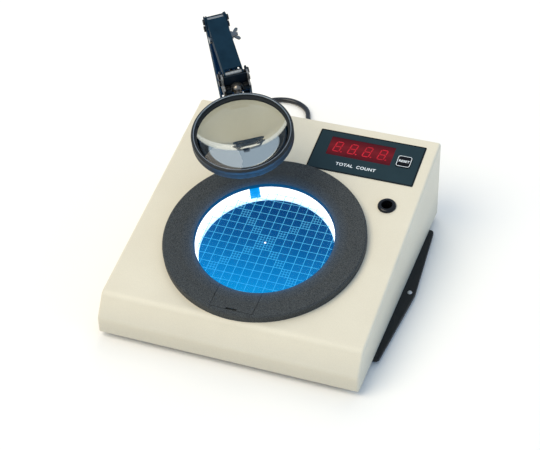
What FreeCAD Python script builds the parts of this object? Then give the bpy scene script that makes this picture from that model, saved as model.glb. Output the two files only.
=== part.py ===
"""Bench-top colony counter: wedge case, lit counting well, display, and a magnifier on a folding arm.

The script writes one STEP file per sub-part to parts/.  All lengths are millimetres.
Object frame: +X to the right, +Y to the rear, +Z up, and the origin is on the table under the
middle of the case and its rear fittings.

Three working frames are used.
- Case frame: x, y, z with y = 0 at the front of the case and z = 0 at its lower edge.
- Slope frame: x, v, w with v running up the sloping top from its front bend and w square to it.
- Arm frame: a, e, w with a pointing the way the arm reaches, e along its hinges, w as on the slope.
"""
import FreeCAD, Part
import math
import os

Vector = FreeCAD.Vector

# ---------------------------------------------------------------- driving dimensions
CASE_WIDTH = 295.0
CASE_DEPTH = 314.6
FRONT_FACE_HEIGHT = 18.0
FRONT_BEND = (17.0, 43.0)
SLOPE_DEG = 10.8
WALL = 2.0
SHEET_EDGE_RADIUS = 3.0
FOOT_HEIGHT = 8.0
REAR_FITTING_DEPTH = 12.0
FOOT_X = 118.0
FOOT_Y = (34.0, 284.0)
FOOT_R = 10.0
GRIP_Y = (51.5, 277.8)
GRIP_END_REACH = 5.5
GRIP_MIDDLE_REACH = 14.3
GRIP_THICKNESS = 4.0

RING_CENTRE_V = 113.0
RING_OUTER_R = 112.0
RING_INNER_R = 76.8
RING_OUTER_HEIGHT = 9.3
RING_INNER_HEIGHT = 6.0
RING_HOLE_R = 104.0
DOOR_HALF_WIDTH = 24.4
DOOR_FRONT = 106.0
DOOR_THICKNESS = 2.6
SLOT_LENGTH = 12.4
GLASS_TOP = -4.2
GLASS_THICKNESS = 3.0
FIELD_TOP = -19.0
STAGE_TRAVEL = 1.2
PAN_FLOOR = -34.0
LAMP_RADIUS = 92.0
LAMP_TUBE_R = 7.5
LAMP_LEVEL = -17.0
SOCKET_ANGLE_DEG = 118.0

LABEL_X = (8.5, 134.0)
LABEL_V = (228.5, 290.0)
LABEL_THICKNESS = 0.6
WINDOW_X = (24.4, 100.5)
WINDOW_V = (253.0, 281.0)
BUTTON_CENTRE = (114.9, 262.2)
BUTTON_SIZE = 16.6
BOARD_TOP = -9.5
HOLDER_CENTRE = (114.7, 194.2)
HOLDER_BORE_R = 6.25
HOLDER_FLANGE_R = 10.3
HOLDER_DEPTH = 33.0

FITTING_Z = 52.0
SWITCH_X = 100.0
SWITCH_WIDTH = 22.0
SWITCH_HEIGHT = 29.0
ROCKER_PIVOT_Y = CASE_DEPTH - 1.0
ROCKER_PIN_R = 1.4
ROCKER_TILT_DEG = 9.0
FUSE_X = 62.0

ARM_BASE = (-97.9, 285.0)
ARM_AZIMUTH_DEG = 34.0
SHOULDER = (0.0, 16.0)
ELBOW_UPPER_PIN = (-41.1, 116.0)
ELBOW_LOWER_PIN = (-41.1, 106.0)
YOKE_UPPER_PIN = (38.2, 103.0)
YOKE_LOWER_PIN = (38.2, 93.0)
LOWER_ARM_HALF = 12.8
UPPER_ARM_HALF = 11.0
YOKE_HALF = 15.6
CHANNEL_WALL = 1.4
PIN_R = 2.0
SLEEVE_R = 3.8
RUNNING_GAP = 0.05
SIDE_GAP = 0.4
CLAMP_REACH = 24.0
CLAMP_DROP = 4.0
YOKE_FRONT = 56.0
YOKE_SCREW = (49.4, 10.5)
SOCKET_R = 7.4
CAP_LEVEL = (90.0, 92.5)
FLOOR_LEVEL = (84.0, 86.5)
BALL = (50.5, 91.0)
BALL_R = 6.0
LENS_DISTANCE = 67.0
LENS_YAW_DEG = -9.3
LENS_PITCH_DEG = 4.9
LENS_RING_R = 56.0
LENS_RING_HEIGHT = 13.0
LENS_R = 51.5
UPPER_BULGE = 12.0
LOWER_BULGE = 9.0

CORD_DIAMETER = 6.5
COIL_CENTRE = (-94.0, 385.0)
COIL_TURN_RADII = (29.5, 36.0, 42.5)
COIL_LAYERS = 2
GLAND_X = 24.0
GLAND_Z = 22.0
GLAND_LENGTH = 31.0
TAIL_LENGTH = 34.0

# ---------------------------------------------------------------- frames
CASE_HALF = CASE_WIDTH / 2
ORIGIN_Y = (CASE_DEPTH + REAR_FITTING_DEPTH) / 2
REAR_FACE = CASE_DEPTH
X_AXIS = Vector(1, 0, 0)
Y_AXIS = Vector(0, 1, 0)
Z_AXIS = Vector(0, 0, 1)

CASE_FRAME = FreeCAD.Placement(Vector(0, -ORIGIN_Y, FOOT_HEIGHT), FreeCAD.Rotation())
SLOPE_FRAME = CASE_FRAME.multiply(
    FreeCAD.Placement(Vector(0, *FRONT_BEND), FreeCAD.Rotation(X_AXIS, SLOPE_DEG)))
ARM_FRAME = SLOPE_FRAME.multiply(
    FreeCAD.Placement(Vector(*ARM_BASE, 0), FreeCAD.Rotation(Z_AXIS, ARM_AZIMUTH_DEG - 90)))
LENS_FRAME = ARM_FRAME.multiply(
    FreeCAD.Placement(Vector(BALL[0], 0, BALL[1]),
                      FreeCAD.Rotation(Z_AXIS, LENS_YAW_DEG).multiply(
                          FreeCAD.Rotation(Y_AXIS, LENS_PITCH_DEG))))

parts = {}


# ---------------------------------------------------------------- small helpers
def placed(shape, frame):
    """A copy of the shape, moved from a working frame into the object frame."""
    moved = shape.copy()
    moved.Placement = frame.multiply(moved.Placement)
    return moved


def add(name, shape, frame):
    parts[name] = placed(shape, frame)


def box(x, y, z):
    """A box from its low and high limits along each axis."""
    return Part.makeBox(x[1] - x[0], y[1] - y[0], z[1] - z[0], Vector(x[0], y[0], z[0]))


def cylinder(radius, start, end):
    """A cylinder between two points."""
    axis = Vector(*end) - Vector(*start)
    return Part.makeCylinder(radius, axis.Length, Vector(*start), axis)


def upright(radius, centre, low, high):
    """A cylinder along the third axis."""
    return cylinder(radius, (centre[0], centre[1], low), (centre[0], centre[1], high))


def cone(radius_a, radius_b, start, end):
    axis = Vector(*end) - Vector(*start)
    return Part.makeCone(radius_a, radius_b, axis.Length, Vector(*start), axis)


def turned(profile, centre=(0, 0)):
    """A solid of revolution about the third axis, from (radius, height) points."""
    points = [Vector(r, 0, h) for r, h in profile]
    face = Part.Face(Part.makePolygon(points + points[:1]))
    solid = face.revolve(Vector(0, 0, 0), Z_AXIS, 360)
    solid.translate(Vector(centre[0], centre[1], 0))
    return solid


def corner_arc(before, corner, after, reach):
    """Tangent points and middle of the arc that rounds a corner, reach along each side."""
    toward = (before - corner).normalize()
    away = (after - corner).normalize()
    start = corner + toward * reach
    end = corner + away * reach
    half = toward.getAngle(away) / 2
    centre_distance = reach / math.cos(half)
    bisector = (toward + away).normalize()
    middle = corner + bisector * (centre_distance - reach * math.tan(half))
    return start, middle, end


def rounded_outline(points, radii):
    """A closed wire through the points, with each corner rounded by its own radius."""
    count = len(points)
    arcs = []
    for i, corner in enumerate(points):
        before = points[i - 1]
        after = points[(i + 1) % count]
        half = (before - corner).getAngle(after - corner) / 2
        reach = radii[i] / math.tan(half)
        arcs.append(corner_arc(before, corner, after, reach))
    edges = []
    for i, (start, middle, end) in enumerate(arcs):
        if radii[i] > 0:
            edges.append(Part.Arc(start, middle, end).toShape())
        following = arcs[(i + 1) % count][0]
        edges.append(Part.LineSegment(end, following).toShape())
    return Part.Wire(edges)


def plate(points, radii, low, high):
    """A plate lying flat: an outline in the first two axes, between two heights."""
    corners = [Vector(x, y, low) for x, y in points]
    return Part.Face(rounded_outline(corners, radii)).extrude(Vector(0, 0, high - low))


def side_plate(points, radii, low, high):
    """A plate standing in the plane of the first and third axes, between two widths."""
    corners = [Vector(x, low, z) for x, z in points]
    return Part.Face(rounded_outline(corners, radii)).extrude(Vector(0, high - low, 0))


def rounded_box(x, y, z, radius):
    corners = [(x[0], y[0]), (x[1], y[0]), (x[1], y[1]), (x[0], y[1])]
    return plate(corners, [radius] * 4, *z)


def cross_pin(radius, point, low, high):
    """A pin along the hinge direction of the arm, through a point of its plane."""
    return cylinder(radius, (point[0], low, point[1]), (point[0], high, point[1]))


def around(radius, angle_deg, centre=(0, RING_CENTRE_V)):
    angle = math.radians(angle_deg)
    return centre[0] + radius * math.cos(angle), centre[1] + radius * math.sin(angle)


def fused(shapes):
    return shapes[0].multiFuse(shapes[1:]).removeSplitter()


# ---------------------------------------------------------------- case
def slope_height(y):
    """Height of the sloping top over the lower edge of the case."""
    return FRONT_BEND[1] + (y - FRONT_BEND[0]) * math.tan(math.radians(SLOPE_DEG))


def case_profile():
    points = [Vector(0, 0, 0), Vector(0, 0, FRONT_FACE_HEIGHT), Vector(0, *FRONT_BEND),
              Vector(0, CASE_DEPTH, slope_height(CASE_DEPTH)), Vector(0, CASE_DEPTH, 0)]
    return Part.Face(rounded_outline(points, [0, 8, 12, 2.5, 0]))


def case_solid(face, half_width):
    solid = face.extrude(Vector(2 * half_width, 0, 0))
    solid.translate(Vector(-half_width, 0, 0))
    return solid


def is_side_edge(edge):
    """True on the edges that run round each side wall, apart from the lower and rear ones."""
    limits = edge.BoundBox
    flat = limits.XLength < 0.01 and abs(abs(limits.XMin) - CASE_HALF) < 0.01
    return flat and limits.ZMax > 0.1 and limits.YMin < CASE_DEPTH - 0.1


def make_top_cover():
    outer = case_solid(case_profile(), CASE_HALF)
    outer = outer.makeFillet(SHEET_EDGE_RADIUS, [e for e in outer.Edges if is_side_edge(e)])
    inner_face = case_profile().makeOffset2D(-WALL)
    inner = case_solid(inner_face, CASE_HALF - WALL)
    below = box((-CASE_HALF + WALL, CASE_HALF - WALL), (WALL, CASE_DEPTH + 1), (-1, 8))
    inner_top = slope_height(CASE_DEPTH) - WALL / math.cos(math.radians(SLOPE_DEG)) - 0.4
    behind = box((-CASE_HALF + WALL, CASE_HALF - WALL), (CASE_DEPTH - 6, CASE_DEPTH + 1), (-1, inner_top))
    shell = outer.cut([inner, below, behind])
    openings = [
        upright(RING_HOLE_R, (0, RING_CENTRE_V), -5, 5),
        box(WINDOW_X, WINDOW_V, (-5, 5)),
        rounded_box(*button_limits(0.4), (-5, 5), 3.2),
        upright(8.3, HOLDER_CENTRE, -5, 5),
        upright(5.6, ARM_BASE, -5, 5),
    ]
    openings = [placed(shape, SLOPE_FRAME) for shape in openings]
    screw_holes = [placed(upright(1.6, centre, -5, 5), ARM_FRAME) for centre in flange_screw_centres()]
    parts["top_cover"] = placed(shell, CASE_FRAME).cut(openings + screw_holes)


def button_limits(gap):
    half = BUTTON_SIZE / 2 + gap
    x = (BUTTON_CENTRE[0] - half, BUTTON_CENTRE[0] + half)
    v = (BUTTON_CENTRE[1] - half, BUTTON_CENTRE[1] + half)
    return x, v


def make_rear_panel():
    half = CASE_HALF - WALL - 0.2
    top = slope_height(CASE_DEPTH) - WALL - 1.0
    panel = box((-half, half), (REAR_FACE - WALL, REAR_FACE), (2.2, top))
    behind = REAR_FACE + 1
    front = REAR_FACE - WALL - 1
    opening_x = (SWITCH_X - SWITCH_WIDTH / 2 + 2, SWITCH_X + SWITCH_WIDTH / 2 - 2)
    opening_z = (FITTING_Z - SWITCH_HEIGHT / 2 + 2, FITTING_Z + SWITCH_HEIGHT / 2 - 2)
    panel = panel.cut([
        box(opening_x, (front, behind), opening_z),
        cylinder(7.2, (FUSE_X, front, FITTING_Z), (FUSE_X, behind, FITTING_Z)),
        cylinder(6.2, (GLAND_X, front, GLAND_Z), (GLAND_X, behind, GLAND_Z)),
    ])
    slots = []
    for row in range(5):
        for side in (-1, 1):
            centre_x = -92 + side * 17
            level = 34 + row * 8
            slots.append(box((centre_x - 14, centre_x + 14), (front, behind), (level - 1.5, level + 1.5)))
    add("rear_panel", panel.cut(slots), CASE_FRAME)


def make_panel_screws():
    spots = [(-136, 12), (136, 12), (-136, 84), (136, 84), (-45, 86), (30, 86)]
    screws = []
    for x, z in spots:
        head = cone(3.4, 2.4, (x, REAR_FACE, z), (x, REAR_FACE + 1.8, z))
        slot = box((x - 2.6, x + 2.6), (REAR_FACE + 1, REAR_FACE + 3), (z - 0.4, z + 0.4))
        cross = box((x - 0.4, x + 0.4), (REAR_FACE + 1, REAR_FACE + 3), (z - 2.6, z + 2.6))
        screws.append(head.cut([slot, cross]))
    add("panel_screws", Part.makeCompound(screws), CASE_FRAME)


def make_base():
    half = CASE_HALF - WALL - 0.2
    base = box((-half, half), (WALL + 0.2, REAR_FACE - 0.2), (0, WALL))
    add("base_plate", base, CASE_FRAME)
    feet = []
    for x in (-FOOT_X, FOOT_X):
        for y in FOOT_Y:
            foot = cone(FOOT_R - 1.5, FOOT_R, (x, y, -FOOT_HEIGHT), (x, y, 0))
            recess = upright(4, (x, y), -FOOT_HEIGHT - 1, -FOOT_HEIGHT + 3)
            feet.append(foot.cut(recess))
    add("rubber_feet", Part.makeCompound(feet), CASE_FRAME)


def make_side_grips():
    middle = sum(GRIP_Y) / 2
    inner = CASE_HALF - 9
    screws = []
    for name, side in (("side_grip_left", -1), ("side_grip_right", 1)):
        end = CASE_HALF + GRIP_END_REACH
        points = [(inner, GRIP_Y[0]), (end, GRIP_Y[0]), (CASE_HALF + GRIP_MIDDLE_REACH, middle),
                  (end, GRIP_Y[1]), (inner, GRIP_Y[1])]
        points = [(side * x, y) for x, y in points]
        grip = plate(points, [1, 4.5, 30, 4.5, 1], -GRIP_THICKNESS, 0)
        top_edges = [e for e in grip.Edges if abs(e.BoundBox.ZMin) < 0.01 and e.BoundBox.ZLength < 0.01]
        grip = grip.makeFillet(0.8, [e for e in top_edges if abs(e.CenterOfMass.x) > CASE_HALF + 1])
        add(name, grip, CASE_FRAME)
        x = side * (CASE_HALF + 8.0)
        head = Part.makeSphere(3.0, Vector(x, middle, -1.0)).common(upright(4, (x, middle), 0, 3))
        slot = box((x - 0.4, x + 0.4), (middle - 3, middle + 3), (1.2, 3))
        screws.append(head.cut(slot))
    add("grip_screws", Part.makeCompound(screws), CASE_FRAME)


# ---------------------------------------------------------------- counting well
def ring_top(radius):
    """Height of the dished top of the ring at a radius."""
    slope = (RING_OUTER_HEIGHT - 0.2 - RING_INNER_HEIGHT) / (RING_OUTER_R - 3.5 - RING_INNER_R)
    return RING_INNER_HEIGHT + slope * (radius - RING_INNER_R)


def make_ring():
    centre = (0, RING_CENTRE_V)
    edge = RING_OUTER_R - 3.5
    profile = [(RING_INNER_R, 2.0), (80.2, 2.0), (RING_OUTER_R - 3.5, 4.8), (RING_OUTER_R - 3.5, 0),
               (RING_OUTER_R, 0), (RING_OUTER_R, RING_OUTER_HEIGHT - 1.6),
               (RING_OUTER_R - 1.6, RING_OUTER_HEIGHT), (edge, ring_top(edge)),
               (RING_INNER_R + 1.0, ring_top(RING_INNER_R + 1.0)), (RING_INNER_R, RING_INNER_HEIGHT - 0.9)]
    ring = turned(profile, centre)
    above = turned([(60, ring_top(60) - DOOR_THICKNESS), (120, ring_top(120) - DOOR_THICKNESS),
                    (120, 25), (60, 25)], centre)
    recess = above.common(box((-DOOR_HALF_WIDTH, DOOR_HALF_WIDTH),
                              (RING_CENTRE_V - DOOR_FRONT, RING_CENTRE_V - 62), (-5, 30)))
    add("ring_bezel", ring.cut(recess), SLOPE_FRAME)
    half = DOOR_HALF_WIDTH - 0.5
    front = RING_CENTRE_V - DOOR_FRONT
    lifted = turned([(60, ring_top(60) - DOOR_THICKNESS + 0.1), (120, ring_top(120) - DOOR_THICKNESS + 0.1),
                     (120, 25), (60, 25)], centre)
    door = ring.common(lifted).common(box((-half, half), (front + 0.5, RING_CENTRE_V - 62), (-5, 30)))
    slot = box((-SLOT_LENGTH / 2, SLOT_LENGTH / 2), (front + 0.4, front + 2.8), (0, 20))
    add("ring_door", door.cut(slot), SLOPE_FRAME)


def make_stage():
    centre = (0, RING_CENTRE_V)
    glass_low = GLASS_TOP - GLASS_THICKNESS
    wall = turned([(RING_INNER_R, 1.7), (79.8, 1.7), (79.8, FIELD_TOP), (75.3, FIELD_TOP),
                   (75.3, glass_low), (RING_INNER_R, glass_low)], centre)
    gap = box((70, 90), (-6, 6), (FIELD_TOP + 1.0, 10))
    gap.rotate(Vector(0, 0, 0), Z_AXIS, SOCKET_ANGLE_DEG)
    gap.translate(Vector(0, RING_CENTRE_V, 0))
    add("light_wall", wall.cut(gap), SLOPE_FRAME)
    add("grid_glass", upright(RING_INNER_R - 0.3, centre, glass_low, GLASS_TOP), SLOPE_FRAME)
    add("field_plate", upright(79.8, centre, FIELD_TOP - 2.5, FIELD_TOP), SLOPE_FRAME)


def make_lamp():
    centre = (0, RING_CENTRE_V)
    pan = turned([(0, PAN_FLOOR - 1.2), (101.2, PAN_FLOOR - 1.2), (101.2, -3.2), (108, -3.2), (108, -2.0),
                  (100, -2.0), (100, PAN_FLOOR), (0, PAN_FLOOR)], centre)
    add("well_pan", pan, SLOPE_FRAME)
    tube = Part.makeTorus(LAMP_RADIUS, LAMP_TUBE_R)
    tube.translate(Vector(0, RING_CENTRE_V, LAMP_LEVEL))
    block = box((80.6, 99.5), (-5.7, 5.7), (LAMP_LEVEL - 9, 0.5))
    window = box((80.5, 100), (-6, 6), (LAMP_LEVEL - 9.3, 0.8))
    for shape in (block, window):
        shape.rotate(Vector(0, 0, 0), Z_AXIS, SOCKET_ANGLE_DEG)
        shape.translate(Vector(0, RING_CENTRE_V, 0))
    add("ring_lamp", tube.cut(window), SLOPE_FRAME)
    add("lamp_socket", block, SLOPE_FRAME)
    clearance = Part.makeTorus(LAMP_RADIUS, LAMP_TUBE_R + 0.2)
    clearance.translate(Vector(0, RING_CENTRE_V, LAMP_LEVEL))
    clips = []
    for angle in (-2, 58, 178, 238, 298):
        clip = box((LAMP_RADIUS - 9.5, LAMP_RADIUS + 7.5), (-3, 3), (PAN_FLOOR, LAMP_LEVEL - 2))
        clip.rotate(Vector(0, 0, 0), Z_AXIS, angle)
        clip.translate(Vector(0, RING_CENTRE_V, 0))
        clips.append(clip.cut(clearance))
    add("lamp_clips", Part.makeCompound(clips), SLOPE_FRAME)


def coil_spring(radius, wire, height, turns):
    """A closed helical spring, standing on the origin."""
    rise = height - wire
    helix = Part.makeHelix(rise / turns, rise, radius)
    start = Vector(radius, 0, 0)
    section = Part.Wire(Part.makeCircle(wire / 2, start, Y_AXIS))
    spring = helix.makePipeShell([section], True, True)
    spring.translate(Vector(0, 0, wire / 2))
    return spring


def make_stage_supports():
    low = PAN_FLOOR
    high = FIELD_TOP - 2.5
    springs = []
    for angle in (30, 150, 270):
        spring = coil_spring(4.0, 0.9, high - low, 4)
        foot = FreeCAD.Placement(Vector(*around(64, angle), low), FreeCAD.Rotation())
        springs.append(placed(spring, foot))
    add("stage_springs", Part.makeCompound(springs), SLOPE_FRAME)
    body = box((-10, 10), (RING_CENTRE_V - 4, RING_CENTRE_V + 4), (low, high - 3.5))
    plunger = upright(1.6, (4, RING_CENTRE_V), high - 3.5, high - STAGE_TRAVEL - 0.2)
    add("pressure_switch", fused([body, plunger]), SLOPE_FRAME)


# ---------------------------------------------------------------- display
def make_display():
    label = rounded_box(LABEL_X, LABEL_V, (0, LABEL_THICKNESS), 1.2)
    label = label.cut([box(WINDOW_X, WINDOW_V, (-1, 2)), rounded_box(*button_limits(0.4), (-1, 2), 3.2)])
    add("display_label", label, SLOPE_FRAME)
    gap = 0.1
    across = (WINDOW_X[0] + gap, WINDOW_X[1] - gap)
    window = box(across, (WINDOW_V[0] + gap, WINDOW_V[1] - gap), (-2.2, 0.4))
    add("display_window", window, SLOPE_FRAME)
    modules = []
    pitch = (WINDOW_X[1] - WINDOW_X[0]) / 4
    for i in range(4):
        centre = WINDOW_X[0] + (i + 0.5) * pitch
        across = (centre - 8.6, centre + 8.6)
        modules.append(box(across, (WINDOW_V[0] + 1.5, WINDOW_V[1] - 1.5), (BOARD_TOP, -2.6)))
    add("digit_modules", Part.makeCompound(modules), SLOPE_FRAME)
    add("display_board", box((16, 131), (246, 288), (BOARD_TOP - 1.6, BOARD_TOP)), SLOPE_FRAME)
    x, v = BUTTON_CENTRE
    switch_body = box((x - 6, x + 6), (v - 6, v + 6), (BOARD_TOP, -6.9))
    add("reset_switch", fused([switch_body, upright(2.4, (x, v), -6.9, -6.6)]), SLOPE_FRAME)
    cap = rounded_box(*button_limits(0), (-2.4, 1.7), 3.0)
    crown = [e for e in cap.Edges if abs(e.BoundBox.ZMin - 1.7) < 0.01]
    cap = cap.makeFillet(0.6, crown)
    flange = rounded_box(*button_limits(1.6), (-3.6, -2.4), 3.0)
    stem = upright(3.0, BUTTON_CENTRE, -5.2, -3.6)
    add("reset_button", fused([cap, flange, stem]), SLOPE_FRAME)


def make_pen_holder():
    top = HOLDER_DEPTH - 30.0
    floor = top - HOLDER_DEPTH
    profile = [(0, floor - 2), (8.0, floor - 2), (8.0, 0), (HOLDER_FLANGE_R, 0), (HOLDER_FLANGE_R, 1.4),
               (HOLDER_FLANGE_R - 0.8, 2.5), (HOLDER_FLANGE_R - 2.2, top), (HOLDER_BORE_R, top),
               (HOLDER_BORE_R, floor), (0, floor)]
    add("pen_holder", turned(profile, HOLDER_CENTRE), SLOPE_FRAME)


# ---------------------------------------------------------------- electrics
def make_boards():
    board_low = 10.0
    board = box((15, 130), (200, 300), (board_low, board_low + 1.6))
    chips = [box((x, x + 18), (232, 248), (board_low + 1.6, board_low + 5)) for x in (30, 56, 82)]
    parts_on_top = [upright(6, (40, 215), board_low + 1.6, board_low + 18),
                    box((80, 118), (206, 222), (board_low + 1.6, board_low + 12))]
    add("main_board", fused([board] + chips + parts_on_top), CASE_FRAME)
    add("buzzer", upright(8, (60, 280), board_low + 1.6, board_low + 11), CASE_FRAME)
    posts = [placed(upright(3, (x, y), WALL, board_low), CASE_FRAME)
             for x in (20, 125) for y in (205, 295)]
    posts += [placed(upright(2.2, (x, v), BOARD_TOP, -WALL), SLOPE_FRAME)
              for x in (19, 128) for v in (249, 285)]
    parts["board_standoffs"] = Part.makeCompound(posts)
    body = rounded_box((-135, -70), (225, 298), (WALL, 36), 2)
    ears = box((-141, -64), (250, 273), (WALL, 4))
    add("lamp_ballast", fused([body, ears]), CASE_FRAME)


def make_switch():
    x = (SWITCH_X - SWITCH_WIDTH / 2, SWITCH_X + SWITCH_WIDTH / 2)
    z = (FITTING_Z - SWITCH_HEIGHT / 2, FITTING_Z + SWITCH_HEIGHT / 2)
    frame = box(x, (REAR_FACE, REAR_FACE + 2), z)
    body = box((x[0] + 2.2, x[1] - 2.2), (REAR_FACE - 24, REAR_FACE), (z[0] + 2.2, z[1] - 2.2))
    pocket = box((x[0] + 3.6, x[1] - 3.6), (REAR_FACE - 9, REAR_FACE + 3), (z[0] + 3.6, z[1] - 3.6))
    reach = SWITCH_WIDTH / 2 - 2.6
    pin_hole = cylinder(ROCKER_PIN_R + RUNNING_GAP, (SWITCH_X - reach - 0.1, ROCKER_PIVOT_Y, FITTING_Z),
                        (SWITCH_X + reach + 0.1, ROCKER_PIVOT_Y, FITTING_Z))
    add("switch_housing", fused([frame, body]).cut([pocket, pin_hole]), CASE_FRAME)
    half_width = SWITCH_WIDTH / 2 - 4.0
    half_height = SWITCH_HEIGHT / 2 - 4.4
    outline = [(-4.0, 2 - half_height), (3.7, -half_height), (2.3, 0),
               (3.7, half_height), (-4.0, half_height - 2)]
    points = [Vector(SWITCH_X - half_width, ROCKER_PIVOT_Y + y, FITTING_Z + z) for y, z in outline]
    rocker = Part.Face(Part.makePolygon(points + points[:1])).extrude(Vector(2 * half_width, 0, 0))
    pin = cylinder(ROCKER_PIN_R, (SWITCH_X - reach, ROCKER_PIVOT_Y, FITTING_Z),
                   (SWITCH_X + reach, ROCKER_PIVOT_Y, FITTING_Z))
    rocker = fused([rocker, pin])
    rocker.rotate(Vector(SWITCH_X, ROCKER_PIVOT_Y, FITTING_Z), X_AXIS, -ROCKER_TILT_DEG)
    add("power_rocker", rocker, CASE_FRAME)


def make_fuse():
    def along(radius, low, high):
        return cylinder(radius, (FUSE_X, REAR_FACE + low, FITTING_Z), (FUSE_X, REAR_FACE + high, FITTING_Z))
    holder = fused([along(9.5, 0, 2.5), along(6.9, -30, 0)]).cut(along(5.4, -27, 3))
    add("fuse_holder", holder, CASE_FRAME)
    cap = fused([along(7.6, 2.8, REAR_FITTING_DEPTH), along(5.1, -24, 2.8)])
    slot = box((FUSE_X - 5.5, FUSE_X + 5.5), (REAR_FACE + REAR_FITTING_DEPTH - 1.5, REAR_FACE + 20),
               (FITTING_Z - 0.7, FITTING_Z + 0.7))
    notches = []
    for i in range(12):
        angle = math.radians(30 * i)
        centre = (FUSE_X + 8.3 * math.cos(angle), FITTING_Z + 8.3 * math.sin(angle))
        notches.append(cylinder(1.2, (centre[0], REAR_FACE + 4.5, centre[1]),
                                (centre[0], REAR_FACE + 20, centre[1])))
    add("fuse_cap", cap.cut([slot] + notches), CASE_FRAME)


# ---------------------------------------------------------------- arm
def direction(start, end):
    along = Vector(end[0] - start[0], 0, end[1] - start[1])
    return along.Length, math.degrees(math.atan2(along.z, along.x))


def link_frame(start, end):
    """Frame with its first axis from one hinge to the next, in the arm's plane."""
    angle = direction(start, end)[1]
    turn = FreeCAD.Rotation(Y_AXIS, -angle)
    return ARM_FRAME.multiply(FreeCAD.Placement(Vector(start[0], 0, start[1]), turn))


def flange_screw_centres():
    return [around(11.8, angle, (0, 0)) for angle in (30, 150, 270)]


def make_arm_base():
    flange = fused([upright(15, (0, 0), 0, 3), upright(8.6, (0, 0), 3, 8)])
    flange = flange.cut([upright(5 + RUNNING_GAP, (0, 0), -1, 9)])
    screws = []
    for centre in flange_screw_centres():
        flange = flange.cut(upright(1.6, centre, -1, 9))
        screws.append(fused([upright(1.5, centre, -4.5, 3), upright(2.6, centre, 3, 4.6)]))
    add("arm_flange", flange, ARM_FRAME)
    add("flange_screws", Part.makeCompound(screws), ARM_FRAME)
    ear_outer = LOWER_ARM_HALF - CHANNEL_WALL - SIDE_GAP
    turret = fused([upright(10.8, (0, 0), 8.2, 11), upright(5, (0, 0), -8, 8.2)])
    for low, high in ((-ear_outer, -ear_outer + 3.4), (ear_outer - 3.4, ear_outer)):
        ear = fused([cross_pin(7, SHOULDER, low, high), box((-7, 7), (low, high), (8.6, SHOULDER[1]))])
        turret = turret.fuse(ear.common(upright(13.2, (0, 0), 0, 40)))
    reach = LOWER_ARM_HALF + 2.6
    turret = turret.removeSplitter().cut(cross_pin(3.0, SHOULDER, -20, 20))
    add("arm_turret", turret, ARM_FRAME)
    pin = [cross_pin(3.0, SHOULDER, -reach, reach)]
    for low, high in ((-reach, -LOWER_ARM_HALF - 0.3), (LOWER_ARM_HALF + 0.3, reach)):
        pin.append(cross_pin(5.0, SHOULDER, low, high))
    add("shoulder_pin", fused(pin), ARM_FRAME)


def make_lower_arm():
    middle = (ELBOW_UPPER_PIN[0], (ELBOW_UPPER_PIN[1] + ELBOW_LOWER_PIN[1]) / 2)
    length, _ = direction(SHOULDER, middle)
    frame = link_frame(SHOULDER, middle)
    inner = LOWER_ARM_HALF - CHANNEL_WALL
    depth = 8.0
    head = 9.8
    flanges = []
    for low, high in ((-LOWER_ARM_HALF, -inner), (inner, LOWER_ARM_HALF)):
        outline = [(-depth, -depth), (length + head, -depth), (length + head, depth), (-depth, depth)]
        flanges.append(side_plate(outline, [6.8, 5.5, 5.5, 6.8], low, high))
    web = box((14, length + 7), (-LOWER_ARM_HALF, LOWER_ARM_HALF), (depth - CHANNEL_WALL, depth))
    channel = placed(fused(flanges + [web]), frame)
    holes = [placed(cross_pin(3.0 + RUNNING_GAP, SHOULDER, -20, 20), ARM_FRAME)]
    for point in (ELBOW_UPPER_PIN, ELBOW_LOWER_PIN):
        holes.append(placed(cross_pin(PIN_R, point, -20, 20), ARM_FRAME))
    parts["lower_arm"] = channel.cut(holes)


def pin_with_heads(point, half_width, sleeve_radius, sleeve_half):
    head_end = half_width + 2.2
    shapes = [cross_pin(PIN_R, point, -head_end, head_end)]
    for low, high in ((-head_end, -half_width), (half_width, head_end)):
        shapes.append(cross_pin(3.4, point, low, high))
    if sleeve_radius:
        shapes.append(cross_pin(sleeve_radius, point, -sleeve_half, sleeve_half))
    return fused(shapes)


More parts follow.
